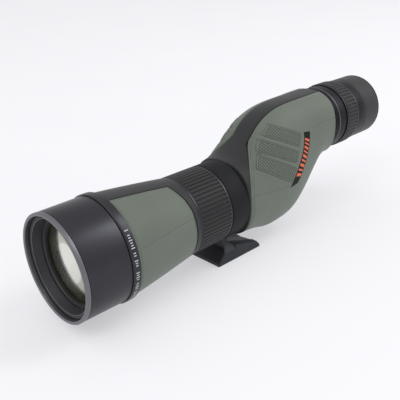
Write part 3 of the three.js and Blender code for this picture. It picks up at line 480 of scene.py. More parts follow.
def gridSolid(name, grids, finishes, body, nodes=(), around=False, sharp=32):
    # each pair of matching grids of points, one above the other, is closed by a wall along its edges
    points, faces, start = [], [], 0
    for outer, inner in grids:
        rows, columns = outer.shape[:2]
        count = rows * columns
        last = columns if around else columns - 1
        i, k = np.meshgrid(np.arange(rows - 1), np.arange(last), indexing="ij")
        m = (k + 1) % columns
        top = np.stack([i * columns + k, i * columns + m, (i + 1) * columns + m, (i + 1) * columns + k], -1)
        top = top.reshape(-1, 4)
        ring, side = np.arange(columns), np.arange(rows) * columns
        if around:
            loops = [np.append(ring, 0), np.append(ring, 0)[::-1] + (rows - 1) * columns]
        else:
            loops = [np.concatenate([ring, side[1:] + columns - 1, ring[::-1][1:] + (rows - 1) * columns,
                                     side[::-1][1:]])]
        walls = [np.stack([loop[1:], loop[:-1], loop[:-1] + count, loop[1:] + count], -1) for loop in loops]
        own = np.concatenate([top, top[:, ::-1] + count, *walls])
        ownPoints = np.concatenate([outer.reshape(-1, 3), inner.reshape(-1, 3)])
        if solidVolume(ownPoints, own) < 0:
            own = own[:, ::-1]
        points.append(ownPoints)
        faces.append(own + start)
        start += 2 * count
    faces = np.concatenate(faces).tolist()
    return addPiece(name, np.concatenate(points), faces, finishes, body, nodes, sharp)


def lifted(surface, station, angle, height):
    # points at a height above a surface, along its own normal
    step, turn = 0.05, 1e-4
    along = surface(station + step, angle) - surface(station - step, angle)
    across = surface(station, angle + turn) - surface(station, angle - turn)
    normal = np.cross(along, across)
    normal /= np.linalg.norm(normal, axis=-1, keepdims=True)
    here = surface(station, angle)
    outward = here[..., 0] * normal[..., 0] + (here[..., 2] - surface.axis(station)) * normal[..., 2]
    normal *= np.where(outward < 0, -1, 1)[..., None]
    return here + normal * np.asarray(height)[..., None]


def edgeDistance(points, line):
    # distance from each point to a polyline of points
    flat = points.reshape(-1, 3)
    best = np.full(len(flat), 1e9)
    for a, b in zip(line[:-1], line[1:]):
        span = b - a
        length = max(1e-12, span @ span)
        t = np.clip((flat - a) @ span / length, 0, 1)
        best = np.minimum(best, np.linalg.norm(flat - a - t[:, None] * span, axis=1))
    return best.reshape(points.shape[:-1])


def bend(distance, table):
    # height from a distance, read off (distance, height) pairs
    return np.interp(distance, [d for d, h in table], [h for d, h in table])


nearEdge = [0, 0.18, 0.4, 0.65, 0.9, 1.2, 1.55, 1.9, 2.3, 2.7, 3.1, 3.6]  # finer rows beside an edge, mm


def graded(length, middle):
    # positions along a length, close together at both ends
    near = np.array(nearEdge)
    scale = np.minimum(1, length / 2.4 / near[-1])
    head = scale[..., None] * near
    share = np.linspace(0, 1, middle + 2)[1:-1]
    inside = head[..., -1:] + share * (length[..., None] - 2 * head[..., -1:])
    return np.concatenate([head, inside, length[..., None] - head[..., ::-1]], -1)


def ribbing(count, depth, front, rear, fade, share=0.5):
    # turned() ribs: straight grooves along a grip, running out near its two ends
    def cut(radius, station, angle):
        wave = 0.5 + 1.5 * (np.cos(angle * count) + 2 * share - 1)
        groove = 1 - np.clip(wave, 0, 1)
        groove = groove * groove * (3 - 2 * groove)
        gate = np.clip(np.minimum(station - front, rear - station) / fade, 0, 1)
        outside = radius > radius.max() - 3 * depth
        return radius - depth * groove * np.sqrt(gate) * outside
    return cut


# sunshade and the front of the tube

hood = {
    "wall": 2.6, "rimWall": 2.5, "rimRound": 1.0, "edge": 0.3,
}


def makeHood():
    front, rear, radius = spanOf("sunshade_tube")
    bore = radius - hood["wall"]
    turned("sunshadeTube", rounded([
        (bore, front, 0.3), (radius - 0.1, front, hood["edge"]), (radius, rear, hood["edge"]),
        (bore, rear, 0.3),
    ]), alongScope(mainAxis), "anodised", "sunshade", ["sunshade_tube"], 288)
    first, last, radius = spanOf("sunshade_front_ring")
    # the front ring is in the lighter grey: a paler lip with a painted highlight on it
    turned("sunshadeFrontRing", rounded([
        (radius - hood["rimWall"], first, 1.0), (radius, first, hood["rimRound"]), (radius, last, 0.3),
        (radius - hood["rimWall"] - 0.1, last, 0.2),
    ], 7), alongScope(mainAxis), "brightEdge", "sunshade", ["sunshade_front_ring"], 288)


mouth = {
    "face": 37.2, "bevel": 35.2, "ring": 34.7, "coneEnd": 32.8, "bore": 34.55,
    "threads": 8, "threadDepth": 0.12, "skin": 2.5, "wall": 2.4, "neckWall": 2.2,
}
barrel = {"front": 43.0, "rear": 106.4, "big": 39.9, "small": 32.0, "swell": 0.35}


def barrelRadius(station):
    t = (station - barrel["front"]) / (barrel["rear"] - barrel["front"])
    return barrel["big"] + (barrel["small"] - barrel["big"]) * t + 4 * barrel["swell"] * t * (1 - t)


def makeMainTube():
    front, rear, _ = spanOf("main_tube")
    neck = boxOf("collar_liner")[1][0] - 1.5
    skin = [(barrelRadius(s) - mouth["skin"], s, 0) for s in np.linspace(barrel["front"], barrel["rear"], 9)]
    inner = [(r - mouth["wall"], s, 0) for r, s, _ in skin[::-1]]
    count = mouth["threads"]
    step = spanOf("objective_cell")[0] - 0.3
    start = front + 1.4
    thread = []
    for k in range(2 * count + 1):
        t = 1 - k / (2 * count)
        radius = mouth["ring"] + 0.1 + (mouth["coneEnd"] - mouth["ring"]) * t
        thread.append((radius - mouth["threadDepth"] * (k % 2), start + (step - start) * t, 0))
    outline = [(mouth["face"], front, 0.3), (mouth["face"], barrel["front"] - 0.3, 0)] + skin
    outline += [(neck, barrel["rear"] + 0.2, 0.5), (neck, rear, 0.4), (neck - mouth["neckWall"], rear, 0.3)]
    outline += [(neck - mouth["neckWall"], barrel["rear"] - 2, 0)] + inner + [(mouth["bore"], step + 0.2, 0)]
    outline += thread + [(mouth["ring"], front + 0.5, 0.2), (mouth["bevel"], front + 0.4, 0.2),
                         (mouth["bevel"] + 0.3, front + 1.0, 0.1), (mouth["face"] - 0.9, front + 0.15, 0.2)]

    # the bevel inside the front face is drawn in the lighter grey, a painted highlight where it catches the
    # light
    def shade(radius, station):
        return 1 if station < front + 0.75 and mouth["ring"] - 0.3 < radius < mouth["bevel"] + 0.05 else 0
    turned("mainTube", rounded(outline, 3), alongScope(mainAxis), ["lensBlack", "brightEdge"], "scope",
           ["main_tube"], 288, pick=shade, sharp=40)


band = {
    "wall": 3.6, "front": 1.0, "rear": 0.4, "under": 0.06, "tickTop": 0.03,
    "from": 52, "pitch": 2.5, "wide": 0.62,
    # long and short marks, with gaps, like the setting marks of a dial
    "marks": (2, 0, 1, 1, 2, 1, 1, 2, 0, 1, 1, 0, 2, 1, 1, 0, 0, 2, 1, 2, 1, 0, 1, 1, 2, 1, 0, 2, 1, 1,
              2, 0, 1, 1, 2, 1, 1, 0, 2),
    "tall": (0, 1.9, 2.9),
}


def makeBand():
    front, rear, radius = spanOf("engraved_band")
    radius -= band["under"]
    turned("engravedBand", rounded([
        (radius - band["wall"], front, 0.2), (radius - 0.5, front, 0.2), (radius, front + band["front"], 0.5),
        (radius, rear, band["rear"]),
        (radius - band["wall"], rear, 0.2),
    ]), alongScope(mainAxis), "anodised", "scope", ["engraved_band"], 288)
    # a plain ring of painted setting marks stands in for the lettering
    points, faces = [], []
    middle = (front + rear) / 2
    for k, size in enumerate(band["marks"]):
        if size == 0:
            continue
        tall = band["tall"][size]
        turn = math.radians(band["from"] + k * band["pitch"])
        half = band["wide"] / 2 / radius
        start = len(points)
        for level in (radius - 0.1, radius + band["tickTop"]):
            for a, s in ((-half, -tall / 2), (half, -tall / 2), (half, tall / 2), (-half, tall / 2)):
                place = turn + a
                up = mainAxis + level * math.cos(place)
                points.append((level * math.sin(place), middle + s + rimY, up))
        ring = [(0, 1, 2, 3), (7, 6, 5, 4), (0, 4, 5, 1), (1, 5, 6, 2), (2, 6, 7, 3), (3, 7, 4, 0)]
        faces += [[start + i for i in face[::-1]] for face in ring]
    flat = np.array(points)
    if solidVolume(flat, np.array(faces)) < 0:
        faces = [face[::-1] for face in faces]
    addPiece("bandMarks", flat, faces, "whiteInk", "scope")


# how far each face stands out at its middle, and the width of the ring's face, in mm
objective = {"crownFront": 3.2, "crownRear": 2.3, "flintFront": -2.6, "flintRear": -1.5, "flintLip": 0.2,
             "eyeFaces": 1.6, "ringFace": 1.6, "play": 0.1}


def lensOutline(edgeFront, edgeRear, radius, sagFront, sagRear, steps=14):
    # from the front vertex out to the edge and back in to the rear vertex; a positive sag stands out
    share = np.sin(np.linspace(0, np.pi / 2, steps))
    face = [(radius * q, edgeFront - sagFront * (1 - q * q)) for q in share]
    back = [(radius * q, edgeRear + sagRear * (1 - q * q)) for q in share[::-1]]
    return face + back


def makeObjective():
    front, rear, radius = spanOf("objective_retaining_ring")
    hole = radius - objective["ringFace"]
    turned("objectiveRetainingRing", rounded([
        (hole, front + 1.2, 0.2), (hole + 0.5, front, 0.25), (radius, front, 0.15), (radius, rear, 0.2),
        (hole, rear, 0.2),
    ]), alongScope(mainAxis), "lensBlack", "scope", ["objective_retaining_ring"], 216)
    front, rear, radius = spanOf("objective_crown_lens")
    crown = lensOutline(front + objective["crownFront"], rear - objective["crownRear"],
                        radius - objective["play"], objective["crownFront"], objective["crownRear"])
    turned("objectiveCrownLens", crown, alongScope(mainAxis), "frontGlass", "scope",
           ["objective_crown_lens"], 216, sharp=50)
    front, rear, radius = spanOf("objective_flint_lens")
    lip = objective["flintLip"]
    turned("objectiveFlintLens", lensOutline(front + lip, rear - lip, radius - objective["play"],
                                             objective["flintFront"], objective["flintRear"]),
           alongScope(mainAxis), "glass", "scope", ["objective_flint_lens"], 216, sharp=50)
    front, rear, radius = spanOf("eye_lens")
    sag = objective["eyeFaces"]
    # the eye lens takes the same painted reflection rings
    turned("eyeLens", lensOutline(front + sag, rear - sag, radius, sag, sag), alongScope(eyeAxis),
           "frontGlass", "scope", ["eye_lens"], 144, sharp=50)


makeHood()
makeMainTube()
makeBand()
makeObjective()
print("sunshade, tube mouth, band and lenses made")


# rings of the focus and the eyepiece

focus = {"ribs": 60, "ribDepth": 1.1, "play": 0.2}
zoom = {"ribs": 54, "ribDepth": 1.0, "play": 0.3}
grip = {"skin": 1.3, "gap": 0.05, "round": (0.5, 0.15), "roundAt": (0.12, 0.45), "rows": [0.8, 1.2, 1.7, 2.4],
        "middle": 4, "runOut": 0.9, "open": 0.56}


def makeGrip(name, axis, facts, body, tube):
    # a metal sleeve with a rubber grip sunk between its two flanges
    front, rear, radius = spanOf(name + "_sleeve")
    first, last, outside = spanOf(name + "_grip")
    bore = boxOf(tube)[1][0] + facts["play"]
    seat, gap = outside - facts["ribDepth"] - grip["skin"], grip["gap"]
    turned(name + "Sleeve", rounded([
        (bore, front, 0.2), (radius, front, 0.35), (radius, first - gap, 0.25), (seat, first - gap, 0.1),
        (seat, last + gap, 0.1), (radius, last + gap, 0.25), (radius, rear, 0.35), (bore, rear, 0.2),
    ]), alongScope(axis), "anodised", body, [name + "_sleeve"], 240)
    start = [(seat + gap, 0), (outside - grip["round"][0], 0),
             (outside - grip["round"][1], grip["roundAt"][0]), (outside, grip["roundAt"][1])]
    start += [(outside, s) for s in grip["rows"]]
    length = last - first
    rows = [(r, first + s) for r, s in start]
    rows += [(outside, first + s) for s in np.linspace(grip["middle"], length - grip["middle"], 5)]
    rows += [(r, last - s) for r, s in start[::-1]]
    ribs = ribbing(facts["ribs"], facts["ribDepth"], first + 0.1, last - 0.1, grip["runOut"], grip["open"])
    turned(name + "Grip", rows, alongScope(axis), "gripRubber", body, [name + "_grip"],
           facts["ribs"] * 10, ribs, sharp=60)


eyepieceRings = {
    # piece: its CAD node, the places of its grooves, its edge fillet, and where its bevel is painted lighter
    # as a highlight, from and to
    "eyepieceBaseRing": ("eyepiece_base_ring", (1.7, 3.5, 5.3), 0.5, None),
    "eyepieceFlangeRing": ("eyepiece_flange_ring", (), 0.6, (-0.1, 0.75)),
    "eyepieceRearRing": ("eyepiece_rear_ring", (), 0.6, (-0.1, 0.7)),
}
ringGroove = {"half": 0.35, "floor": 0.21, "deep": 0.55}


def makeEyepieceRing(name, node, grooves, edge, bright):
    front, rear, radius = spanOf(node)
    bore = boxOf("eyepiece_tube")[1][0] + 0.05
    low = radius - ringGroove["deep"]
    outline = [(bore, front, 0.2), (radius, front, edge)]
    half, floor = ringGroove["half"], ringGroove["floor"]
    for s in grooves:
        middle = front + s
        outline += [(radius, middle - half, 0.08), (low, middle - floor, 0.08), (low, middle + floor, 0.08),
                    (radius, middle + half, 0.08)]
    outline += [(radius, rear, edge), (bore, rear, 0.2)]

    # faces on that bevel take the lighter grey, a painted highlight
    def shade(r, station):
        return int(bright is not None and bright[0] < station - front < bright[1] and r > radius - 1.2)
    turned(name, rounded(outline, 4), alongScope(eyeAxis), ["ringBlack", "brightEdge"], "scope",
           [node], 216, pick=shade)


def makeRings():
    makeGrip("focus", mainAxis, focus, "focus_ring", "collar_liner")
    makeGrip("zoom", eyeAxis, zoom, "zoom_ring", "eyepiece_tube")
    for name, facts in eyepieceRings.items():
        makeEyepieceRing(name, *facts)


eyecup = {"mouthFront": 20.4, "mouthRear": 18.5, "stepFront": 9.8, "stepRear": 8.6}


def makeEyecup():
    front, rear, radius = spanOf("eyecup_body")
    guide = boxOf("eyecup_guide")[1][0] + 0.3
    rimFront, rimRear, rimRadius = spanOf("eyecup_rim")
    turned("eyecupBody", rounded([
        (guide, front, 0.3), (radius - 0.4, front, 0.6), (radius, front + 3, 1.0), (radius, rear - 2, 1.0),
        (radius - 0.25, rear, 0.5), (eyecup["mouthFront"] - 0.6, rear, 0.3),
        (eyecup["mouthFront"], rear - eyecup["stepRear"], 0.5), (guide, rear - eyecup["stepFront"], 0.3),
    ]), alongScope(eyeAxis), "blackRubber", "eyecup", ["eyecup_body"], 216)
    turned("eyecupRim", rounded([
        (eyecup["mouthFront"] - 0.7, rimFront, 0.3), (rimRadius - 0.1, rimFront, 0.4),
        (rimRadius, rimFront + 0.9, 0.5),
        (rimRadius - 1.6, rimRear, 1.4), (eyecup["mouthRear"] + 1.2, rimRear, 1.1),
        (eyecup["mouthRear"], rimFront + 1.6, 0.6),
    ], 8), alongScope(eyeAxis), "softRim", "eyecup", ["eyecup_rim"], 216)


makeRings()
makeEyecup()
print("grips, rings and eyecup made")


# rubber armour on the barrel

armour = {
    "strip": 9.3,  # half-width of the black strips along the top and bottom
    "gap": 0.45,
    "sink": 1.6,
    "back": 2.6,
    "overlap": 0.3,  # how far a panel reaches into the skin under it
    "cell": 0.6,
    "plainCell": 0.9,
    "panelEdge": [(0, -1.2), (0.12, -0.45), (0.35, -0.1), (0.65, 0.06), (1.05, 0.0), (1.35, -0.28),
                  (1.7, -0.28), (2.0, 0.0)],
    "stripEdge": [(0, -1.6), (0.1, -1.1), (0.2, -0.45), (0.45, -0.12), (0.9, 0.0)],
}
panelCorner = {"long": 21, "tall": 27.3, "rear": 101.4}
mouldSeam = {"wide": 0.38, "deep": 0.4, "barrelFront": 75, "barrelRear": 70}


def barrelSurface(station, angle):
    radius = barrelRadius(station)
    return np.stack(np.broadcast_arrays(radius * np.sin(angle), station + rimY,
                                        mainAxis + radius * np.cos(angle)), -1)


barrelSurface.axis = lambda station: mainAxis
barrelSurface.across = lambda station, angle: barrelRadius(station)


def stripAngle(surface, station, width, low=False):
    # angle at which a surface is this far from the middle plane, near the top or the bottom
    angle = np.full(np.shape(station), math.pi - 0.25 if low else 0.25)
    for _ in range(12):
        side = surface(station, angle)[..., 0]
        slope = (surface(station, angle + 1e-3)[..., 0] - side) / 1e-3
        angle = angle - (side - width) / slope
    return angle


def panelGrid(surface, frontOf, rearOf, cell, inset=0.0, extraRows=(), front=0.0, rear=0.0):
    # stations and angles of a grid between the strips and between two curved ends, finer at its edges
    def angleAt(station, share):
        high = stripAngle(surface, station, armour["strip"] + inset)
        low = stripAngle(surface, station, armour["strip"] + inset, True)
        return high + share * (low - high)
    first = frontOf(np.array([0.0]))[0] + front
    last = rearOf(np.array([0.0]))[0] + rear
    middle = np.array((first + last) / 2)
    width = np.array(float(surface.across(middle, math.pi / 2) * (angleAt(middle, 1) - angleAt(middle, 0))))
    share = graded(width, int(width / cell)) / width
    start, end = np.full(len(share), first), np.full(len(share), last)
    for _ in range(90):
        start = frontOf(surface(start, angleAt(start, share))[:, 2] - mainAxis) + front
        end = rearOf(surface(end, angleAt(end, share))[:, 2] - mainAxis) + rear
    long = np.array(float((end - start).max()))
    along = graded(long, int(long / cell)) / long
    station = start + along[:, None] * (end - start)
    return station, angleAt(station, share)


def outlineOf(surface, station, angle):
    points = surface(station, angle)
    return np.concatenate([points[0], points[1:, -1], points[-1, ::-1][1:], points[::-1, 0][1:]])


def mirror(points):
    return points * np.array([-1, 1, 1])


def bothSides(*pieces):
    # each piece on the left, then its mirror image on the right
    for side in ("Left", "Right"):
        for name, solids, finishName, slot, node, sharp in pieces:
            grids = solids if side == "Left" else [(mirror(outer), mirror(inner)) for outer, inner in solids]
            nodes = [node + "_" + side.lower()] if node else ()
            gridSolid(name + side, grids, finishName, "scope", nodes, sharp=sharp)


def sunk(surface, station, angle, depth):
    return lifted(surface, station, angle, np.full(station.shape, -depth))


def skinSolids(surface, patches, outline, ends, endEdge, depth):
    # patches of the black skin, rolled down beside the green panels and at both ends
    solids = []
    for station, angle in patches:
        flat = surface(station, angle)
        aside = flat[..., 0].max() > armour["strip"] + 1
        away = edgeDistance(flat, outline)
        if not aside:
            away = np.minimum(away, edgeDistance(flat, mirror(outline)))
        height = bend(away - armour["gap"] * 0.9, armour["stripEdge"])
        toEnd = np.minimum(station - ends[0], ends[1] - station)
        outer = lifted(surface, station, angle, np.minimum(height, bend(toEnd, endEdge)))
        inner = sunk(surface, station, angle, depth)
        solids.append((outer, inner))
        if aside:
            solids.append((mirror(outer), mirror(inner)))
    return solids


def seamDepth(distance):
    return -mouldSeam["deep"] * np.exp(-(distance / mouldSeam["wide"]) ** 2)


def barrelPanelRear(height):
    past = np.clip((np.abs(height) - barrel["big"] + panelCorner["tall"]) / panelCorner["tall"], 0, 1)
    return panelCorner["rear"] - panelCorner["long"] * (1 - np.sqrt(1 - past * past * 0.999))


def barrelPanelFront(height):
    return np.full(np.shape(height), barrel["front"] + 0.1)


def stripGrid(surface, front, rear, low, cell, inset):
    # the black strip over the top or the bottom
    long = np.array(float(rear - front))
    station = (front + graded(long, int(long / cell)))[:, None]
    edge = stripAngle(surface, station, armour["strip"] - inset, low)
    edge = np.pi - edge if low else edge
    width = np.array(2.0 * armour["strip"])
    share = graded(width, int(width / cell)) / width * 2 - 1
    angle = edge * share + (np.pi if low else 0)
    return np.broadcast_arrays(station, angle)


def makeBarrelArmour():
    station, angle = panelGrid(barrelSurface, barrelPanelFront, barrelPanelRear, armour["cell"])
    flat = barrelSurface(station, angle)
    outline = outlineOf(barrelSurface, station, angle)
    height = bend(edgeDistance(flat, outline), armour["panelEdge"])
    turn = np.radians(np.interp(station, (46, 99.6), (mouldSeam["barrelFront"], mouldSeam["barrelRear"])))
    height = height + seamDepth((angle - turn) * barrelRadius(station))
    outer = lifted(barrelSurface, station, angle, height)
    inner = sunk(barrelSurface, station, angle, armour["sink"] + armour["overlap"])
    bothSides(("barrelPanel", [(outer, inner)], "greenRubber", "green_armour", "barrel_panel", 50))
    # the black skin: a sunk sleeve under the panels, the two strips, and the part behind the panels
    gap, depth = armour["gap"], armour["back"] - 0.3
    rows = np.linspace(barrel["front"], barrel["rear"], 24)
    sleeve = [(barrelRadius(s) - armour["sink"], s) for s in rows]
    sleeve += [(barrelRadius(s) - depth, s) for s in rows[::-1]]
    turned("barrelUnderSkin", sleeve, alongScope(mainAxis), "blackRubber", "scope", (), 200)
    ends = (barrel["front"], barrel["rear"])
    patches = [stripGrid(barrelSurface, *ends, low, armour["plainCell"], gap) for low in (False, True)]
    patches.append(panelGrid(barrelSurface, barrelPanelRear, lambda z: np.full(np.shape(z), barrel["rear"]),
                             armour["plainCell"], -gap, front=gap))
    solids = skinSolids(barrelSurface, patches, outline, ends, [(0, -0.5), (0.15, -0.15), (0.5, 0)], depth)
    gridSolid("barrelArmour", solids, "blackRubber", "scope", ["barrel_armour"], sharp=50)


# rubber armour on the prism housing

def measureHousing():
    # station, half-width, half-height and centre height at the evenly spaced rows of the CAD housing
    node = frame["nodes"]["prism_housing"]
    points = np.array([v.co for v in node.data.vertices]) / mm
    station = points[:, 1] - rimY
    table = []
    for row in np.linspace(station.min(), station.max(), housing["rows"]):
        ring = points[np.abs(station - row) < 0.05]
        wide, top, bottom = ring[:, 0].max(), ring[:, 2].max(), ring[:, 2].min()
        table.append((row, wide, (top - bottom) / 2, (top + bottom) / 2))
    return np.array(table)


housing = {"rows": 15, "skin": 2.5, "power": 2.5, "cell": 0.58, "plainCell": 0.95}
housingRows = measureHousing()


def smoothRead(station, column):
    # cubic curve through the measured rows
    x, y = housingRows[:, 0], housingRows[:, column]
    slope = np.gradient(y, x)
    station = np.clip(station, x[0], x[-1])
    k = np.clip(np.searchsorted(x, station) - 1, 0, len(x) - 2)
    span = x[k + 1] - x[k]
    t = (station - x[k]) / span
    return ((2 * t ** 3 - 3 * t * t + 1) * y[k] + (t ** 3 - 2 * t * t + t) * span * slope[k]
            + (3 * t * t - 2 * t ** 3) * y[k + 1] + (t ** 3 - t * t) * span * slope[k + 1])


def housingSurface(station, angle):
    wide = smoothRead(station, 1) + housing["skin"]
    tall = smoothRead(station, 2) + housing["skin"]
    power = housing["power"]
    side, up = np.abs(np.sin(angle)), np.abs(np.cos(angle))
    radius = ((side / wide) ** power + (up / tall) ** power) ** (-1 / power)
    return np.stack(np.broadcast_arrays(radius * np.sin(angle), station + rimY,
                                        smoothRead(station, 3) + radius * np.cos(angle)), -1)


housingSurface.axis = lambda station: smoothRead(station, 3)
housingSurface.across = lambda station, angle: (
    (smoothRead(station, 1) + smoothRead(station, 2)) / 2 + housing["skin"])
housingFront, housingRear = housingRows[0, 0], housingRows[-1, 0]

# where the green panel's front edge runs: (height above the main axis, distance behind the housing's front)
panelFrontEdge = [(-60, 2.0), (0, 2.0), (4, 2.0), (14, 2.9), (24, 6.6), (32, 12), (40, 18.4), (46, 24),
                  (52, 30.5), (60, 39), (72, 52)]
panelGrooves = {"first": 1.7, "second": 3.2, "wide": 0.33, "deep": 0.4}
# the mould line: (station, height above the main axis)
housingSeam = [(160, 9.5), (165, 7.7), (180, 5.6), (208, 2.8), (222, 12), (232, 32), (239, 43), (255, 45.6),
               (280, 46)]


def housingPanelFront(height):
    z, s = np.array(panelFrontEdge).T
    fine = np.linspace(z[0], z[-1], 400)
    soft = np.interp(fine, z, s)
    kernel = np.exp(-np.linspace(-2, 2, 41) ** 2)
    soft = np.convolve(np.pad(soft, 20, "edge"), kernel / kernel.sum(), "valid")
    return housingFront + np.interp(height, fine, soft)


def housingPanelRear(height):
    return np.full(np.shape(height), housingRear - 0.05)


def makeHousingArmour():
    station, angle = panelGrid(housingSurface, housingPanelFront, housingPanelRear, housing["cell"])
    flat = housingSurface(station, angle)
    outline = outlineOf(housingSurface, station, angle)
    height = bend(edgeDistance(flat, outline), armour["panelEdge"][:5])
    toFront = edgeDistance(flat, flat[0])
    for key in ("first", "second"):
        away = (toFront - panelGrooves[key]) / panelGrooves["wide"]
        height = height - panelGrooves["deep"] * np.exp(-away ** 2)
    seamHeight = np.interp(station, *np.array(housingSeam).T) + mainAxis
    inBadge = insideBadge(station, flat[..., 2], 2.5)
    height = height + seamDepth(flat[..., 2] - seamHeight) * ~inBadge * (toFront > 3.6)
    height = height - padRecess(station, flat[..., 2] - mainAxis)
    outer = lifted(housingSurface, station, angle, height)
    inner = sunk(housingSurface, station, angle, armour["sink"] + armour["overlap"])
    bothSides(("housingPanel", [(outer, inner)], "greenRubber", "green_armour", "housing_panel", 50))
    # the black skin: sunk under the panels, standing full height in front of them and along the strips
    gap, depth = armour["gap"], armour["back"] - 0.4
    turn = np.linspace(0, 2 * np.pi, 181)[:-1]
    rows, turn = np.meshgrid(np.linspace(housingFront, housingRear, 90), turn, indexing="ij")
    under = sunk(housingSurface, rows, turn, armour["sink"])
    below = sunk(housingSurface, rows, turn, depth)
    gridSolid("housingUnderSkin", [(under, below)], "blackRubber", "scope", (), True)
    ends = (housingFront, housingRear)
    patches = [stripGrid(housingSurface, *ends, low, housing["plainCell"], gap) for low in (False, True)]
    patches.append(panelGrid(housingSurface, lambda z: np.full(np.shape(z), housingFront), housingPanelFront,
                             housing["plainCell"], -gap, rear=-gap))
    solids = skinSolids(housingSurface, patches, outline, ends, [(0, -0.7), (0.2, -0.2), (0.7, 0)], depth)
    gridSolid("housingArmour", solids, "blackRubber", "scope", ["housing_armour"], sharp=50)


# grip pads and the badge on the side of the housing

pads = {
    # corners are (station, height above the main axis): front top, rear top, rear bottom, front bottom
    "corners": [
        [(198.9, 55.9), (226.2, 42.9), (221.0, 33.5), (189.2, 49.1)],
        [(186.0, 46.3), (220.4, 29.4), (217.0, 20.6), (179.7, 38.7)],
        [(179.0, 36.8), (216.8, 15.5), (210.5, 4.8), (172.9, 27.0)],
    ],
    "pitch": 1.9, "slant": 30, "rib": 0.75, "base": -0.45, "sink": 1.3, "corner": 0.12,
    "recess": 0.7, "moat": 0.55, "ramp": 0.3,
    "across": 10, "along": 33,  # a pad's rough width and length, for the bead round it
    "beadEnd": 0.9, "bead": [(0, 0), (0.12, 0.7), (0.35, 1), (0.6, 0.9), (0.85, 0)],
}
badge = {
    # edges are three (distance behind the housing's front, height above the main axis) each
    "front": [(70.6, 43.8), (65.3, 25.6), (48.6, 0.2)],
    "rear": [(80.0, 42.6), (74.0, 20.6), (60.2, 1.4)],
    "proud": 0.14, "long": 44, "wide": 9, "sink": 1.4,
    "marks": 9, "markLift": 0.05, "markSpan": (0.14, 0.86), "markReach": (0.16, 0.84), "markLean": 0.02,
    "markWide": (0.62, 0.4),  # share of the pitch, for every other bar
}


def sidePoint(station, height):
    # the point of the housing's +X side at a station and a height above the main axis
    wide = smoothRead(station, 1) + housing["skin"]
    tall = smoothRead(station, 2) + housing["skin"]
    up = (height + mainAxis - smoothRead(station, 3)) / tall
    side = wide * np.clip(1 - np.abs(up) ** housing["power"], 0, 1) ** (1 / housing["power"])
    return np.stack(np.broadcast_arrays(side, station + rimY, height + mainAxis), -1)


def sideLifted(station, height, lift):
    step = 0.05
    along = sidePoint(station + step, height) - sidePoint(station - step, height)
    across = sidePoint(station, height + step) - sidePoint(station, height - step)
    normal = np.cross(along, across)
    normal /= np.linalg.norm(normal, axis=-1, keepdims=True)
    normal *= np.where(normal[..., 0] < 0, -1, 1)[..., None]
    return sidePoint(station, height) + normal * np.asarray(lift)[..., None]


def threePoint(points, t):
    # quadratic curve through three points, at t = 0, 0.5 and 1
    a, b, c = [np.array(p, float) for p in points]
    t = np.asarray(t)[..., None]
    return a * (1 - t) * (1 - 2 * t) + b * 4 * t * (1 - t) + c * t * (2 * t - 1)


def insideBadge(station, z, margin):
    t = np.linspace(0, 1, 60)
    front, rear = threePoint(badge["front"], t), threePoint(badge["rear"], t)
    height = z - mainAxis
    order = np.argsort(front[:, 1])
    first = np.interp(height, front[order, 1], front[order, 0]) + housingFront
    order = np.argsort(rear[:, 1])
    last = np.interp(height, rear[order, 1], rear[order, 0]) + housingFront
    return (station > first - margin) & (station < last + margin) & (height > 0) & (height < 45)


def padRecess(station, height):
    # how far the armour is sunk where a pad is let into it
    depth = np.zeros(station.shape)
    for corners in pads["corners"]:
        loop = np.array(corners + corners[:1], float)
        inside = np.full(station.shape, 1e9)
        for a, b in zip(loop[:-1], loop[1:]):
            edge = (b - a) / np.linalg.norm(b - a)
            inside = np.minimum(inside, -((station - a[0]) * -edge[1] + (height - a[1]) * edge[0]))
        depth = np.maximum(depth, pads["recess"] * np.clip((inside + pads["moat"]) / pads["ramp"], 0, 1))
    return depth


def makePads():
    lean = math.radians(pads["slant"])
    u = np.concatenate([[0, 0.004, 0.009, 0.015], np.linspace(0.02, 0.98, 170), [0.985, 0.991, 0.996, 1]])
    v = np.concatenate([[0, 0.015, 0.035], np.linspace(0.06, 0.94, 30), [0.965, 0.985, 1]])
    u, v = np.meshgrid(u, v, indexing="ij")
    rim = np.minimum.reduce([v * pads["across"], (1 - v) * pads["across"], u * pads["along"],
                             (1 - u) * pads["along"]])
    inside = np.clip((rim - pads["beadEnd"]) / 0.4, 0, 1)
    u, v = u[..., None], v[..., None]
    solids = []
    for corners in pads["corners"]:
        a, b, c, d = [np.array(p) for p in corners]
        spot = (a * (1 - u) + b * u) * (1 - v) + (d * (1 - u) + c * u) * v
        # the front end is rounded: its corners draw back along the pad
        back = np.abs(2 * v - 1) ** 3 * pads["corner"] * np.linalg.norm(a - d) * (1 - u) ** 8
        spot = spot + back * (b - a) / np.linalg.norm(b - a)
        station, height = spot[..., 0], spot[..., 1]
        across = station * math.cos(lean) + height * math.sin(lean)
        wave = np.cos(2 * np.pi * across / pads["pitch"]) * 1.4 + 0.35
        rib = np.clip(0.5 + wave / 2, 0, 1)
        # a raised bead runs round the pad, with the ribs inside it
        lift = pads["base"] + pads["rib"] * np.maximum(bend(rim, pads["bead"]), rib * inside)
        lift = np.where(rim < 0.02, -pads["sink"], lift)
        inner = sideLifted(station, height, np.full(station.shape, -pads["sink"] - 0.3))
        solids.append((sideLifted(station, height, lift), inner))
    bothSides(("gripPads", solids, "greenRubber", "green_armour", None, 70))


def badgePoint(along, across):
    # station and height at shares of the way along the badge and across it
    front, rear = threePoint(badge["front"], along), threePoint(badge["rear"], along)
    spot = front * (1 - across[..., None]) + rear * across[..., None]
    return spot[..., 0] + housingFront, spot[..., 1]


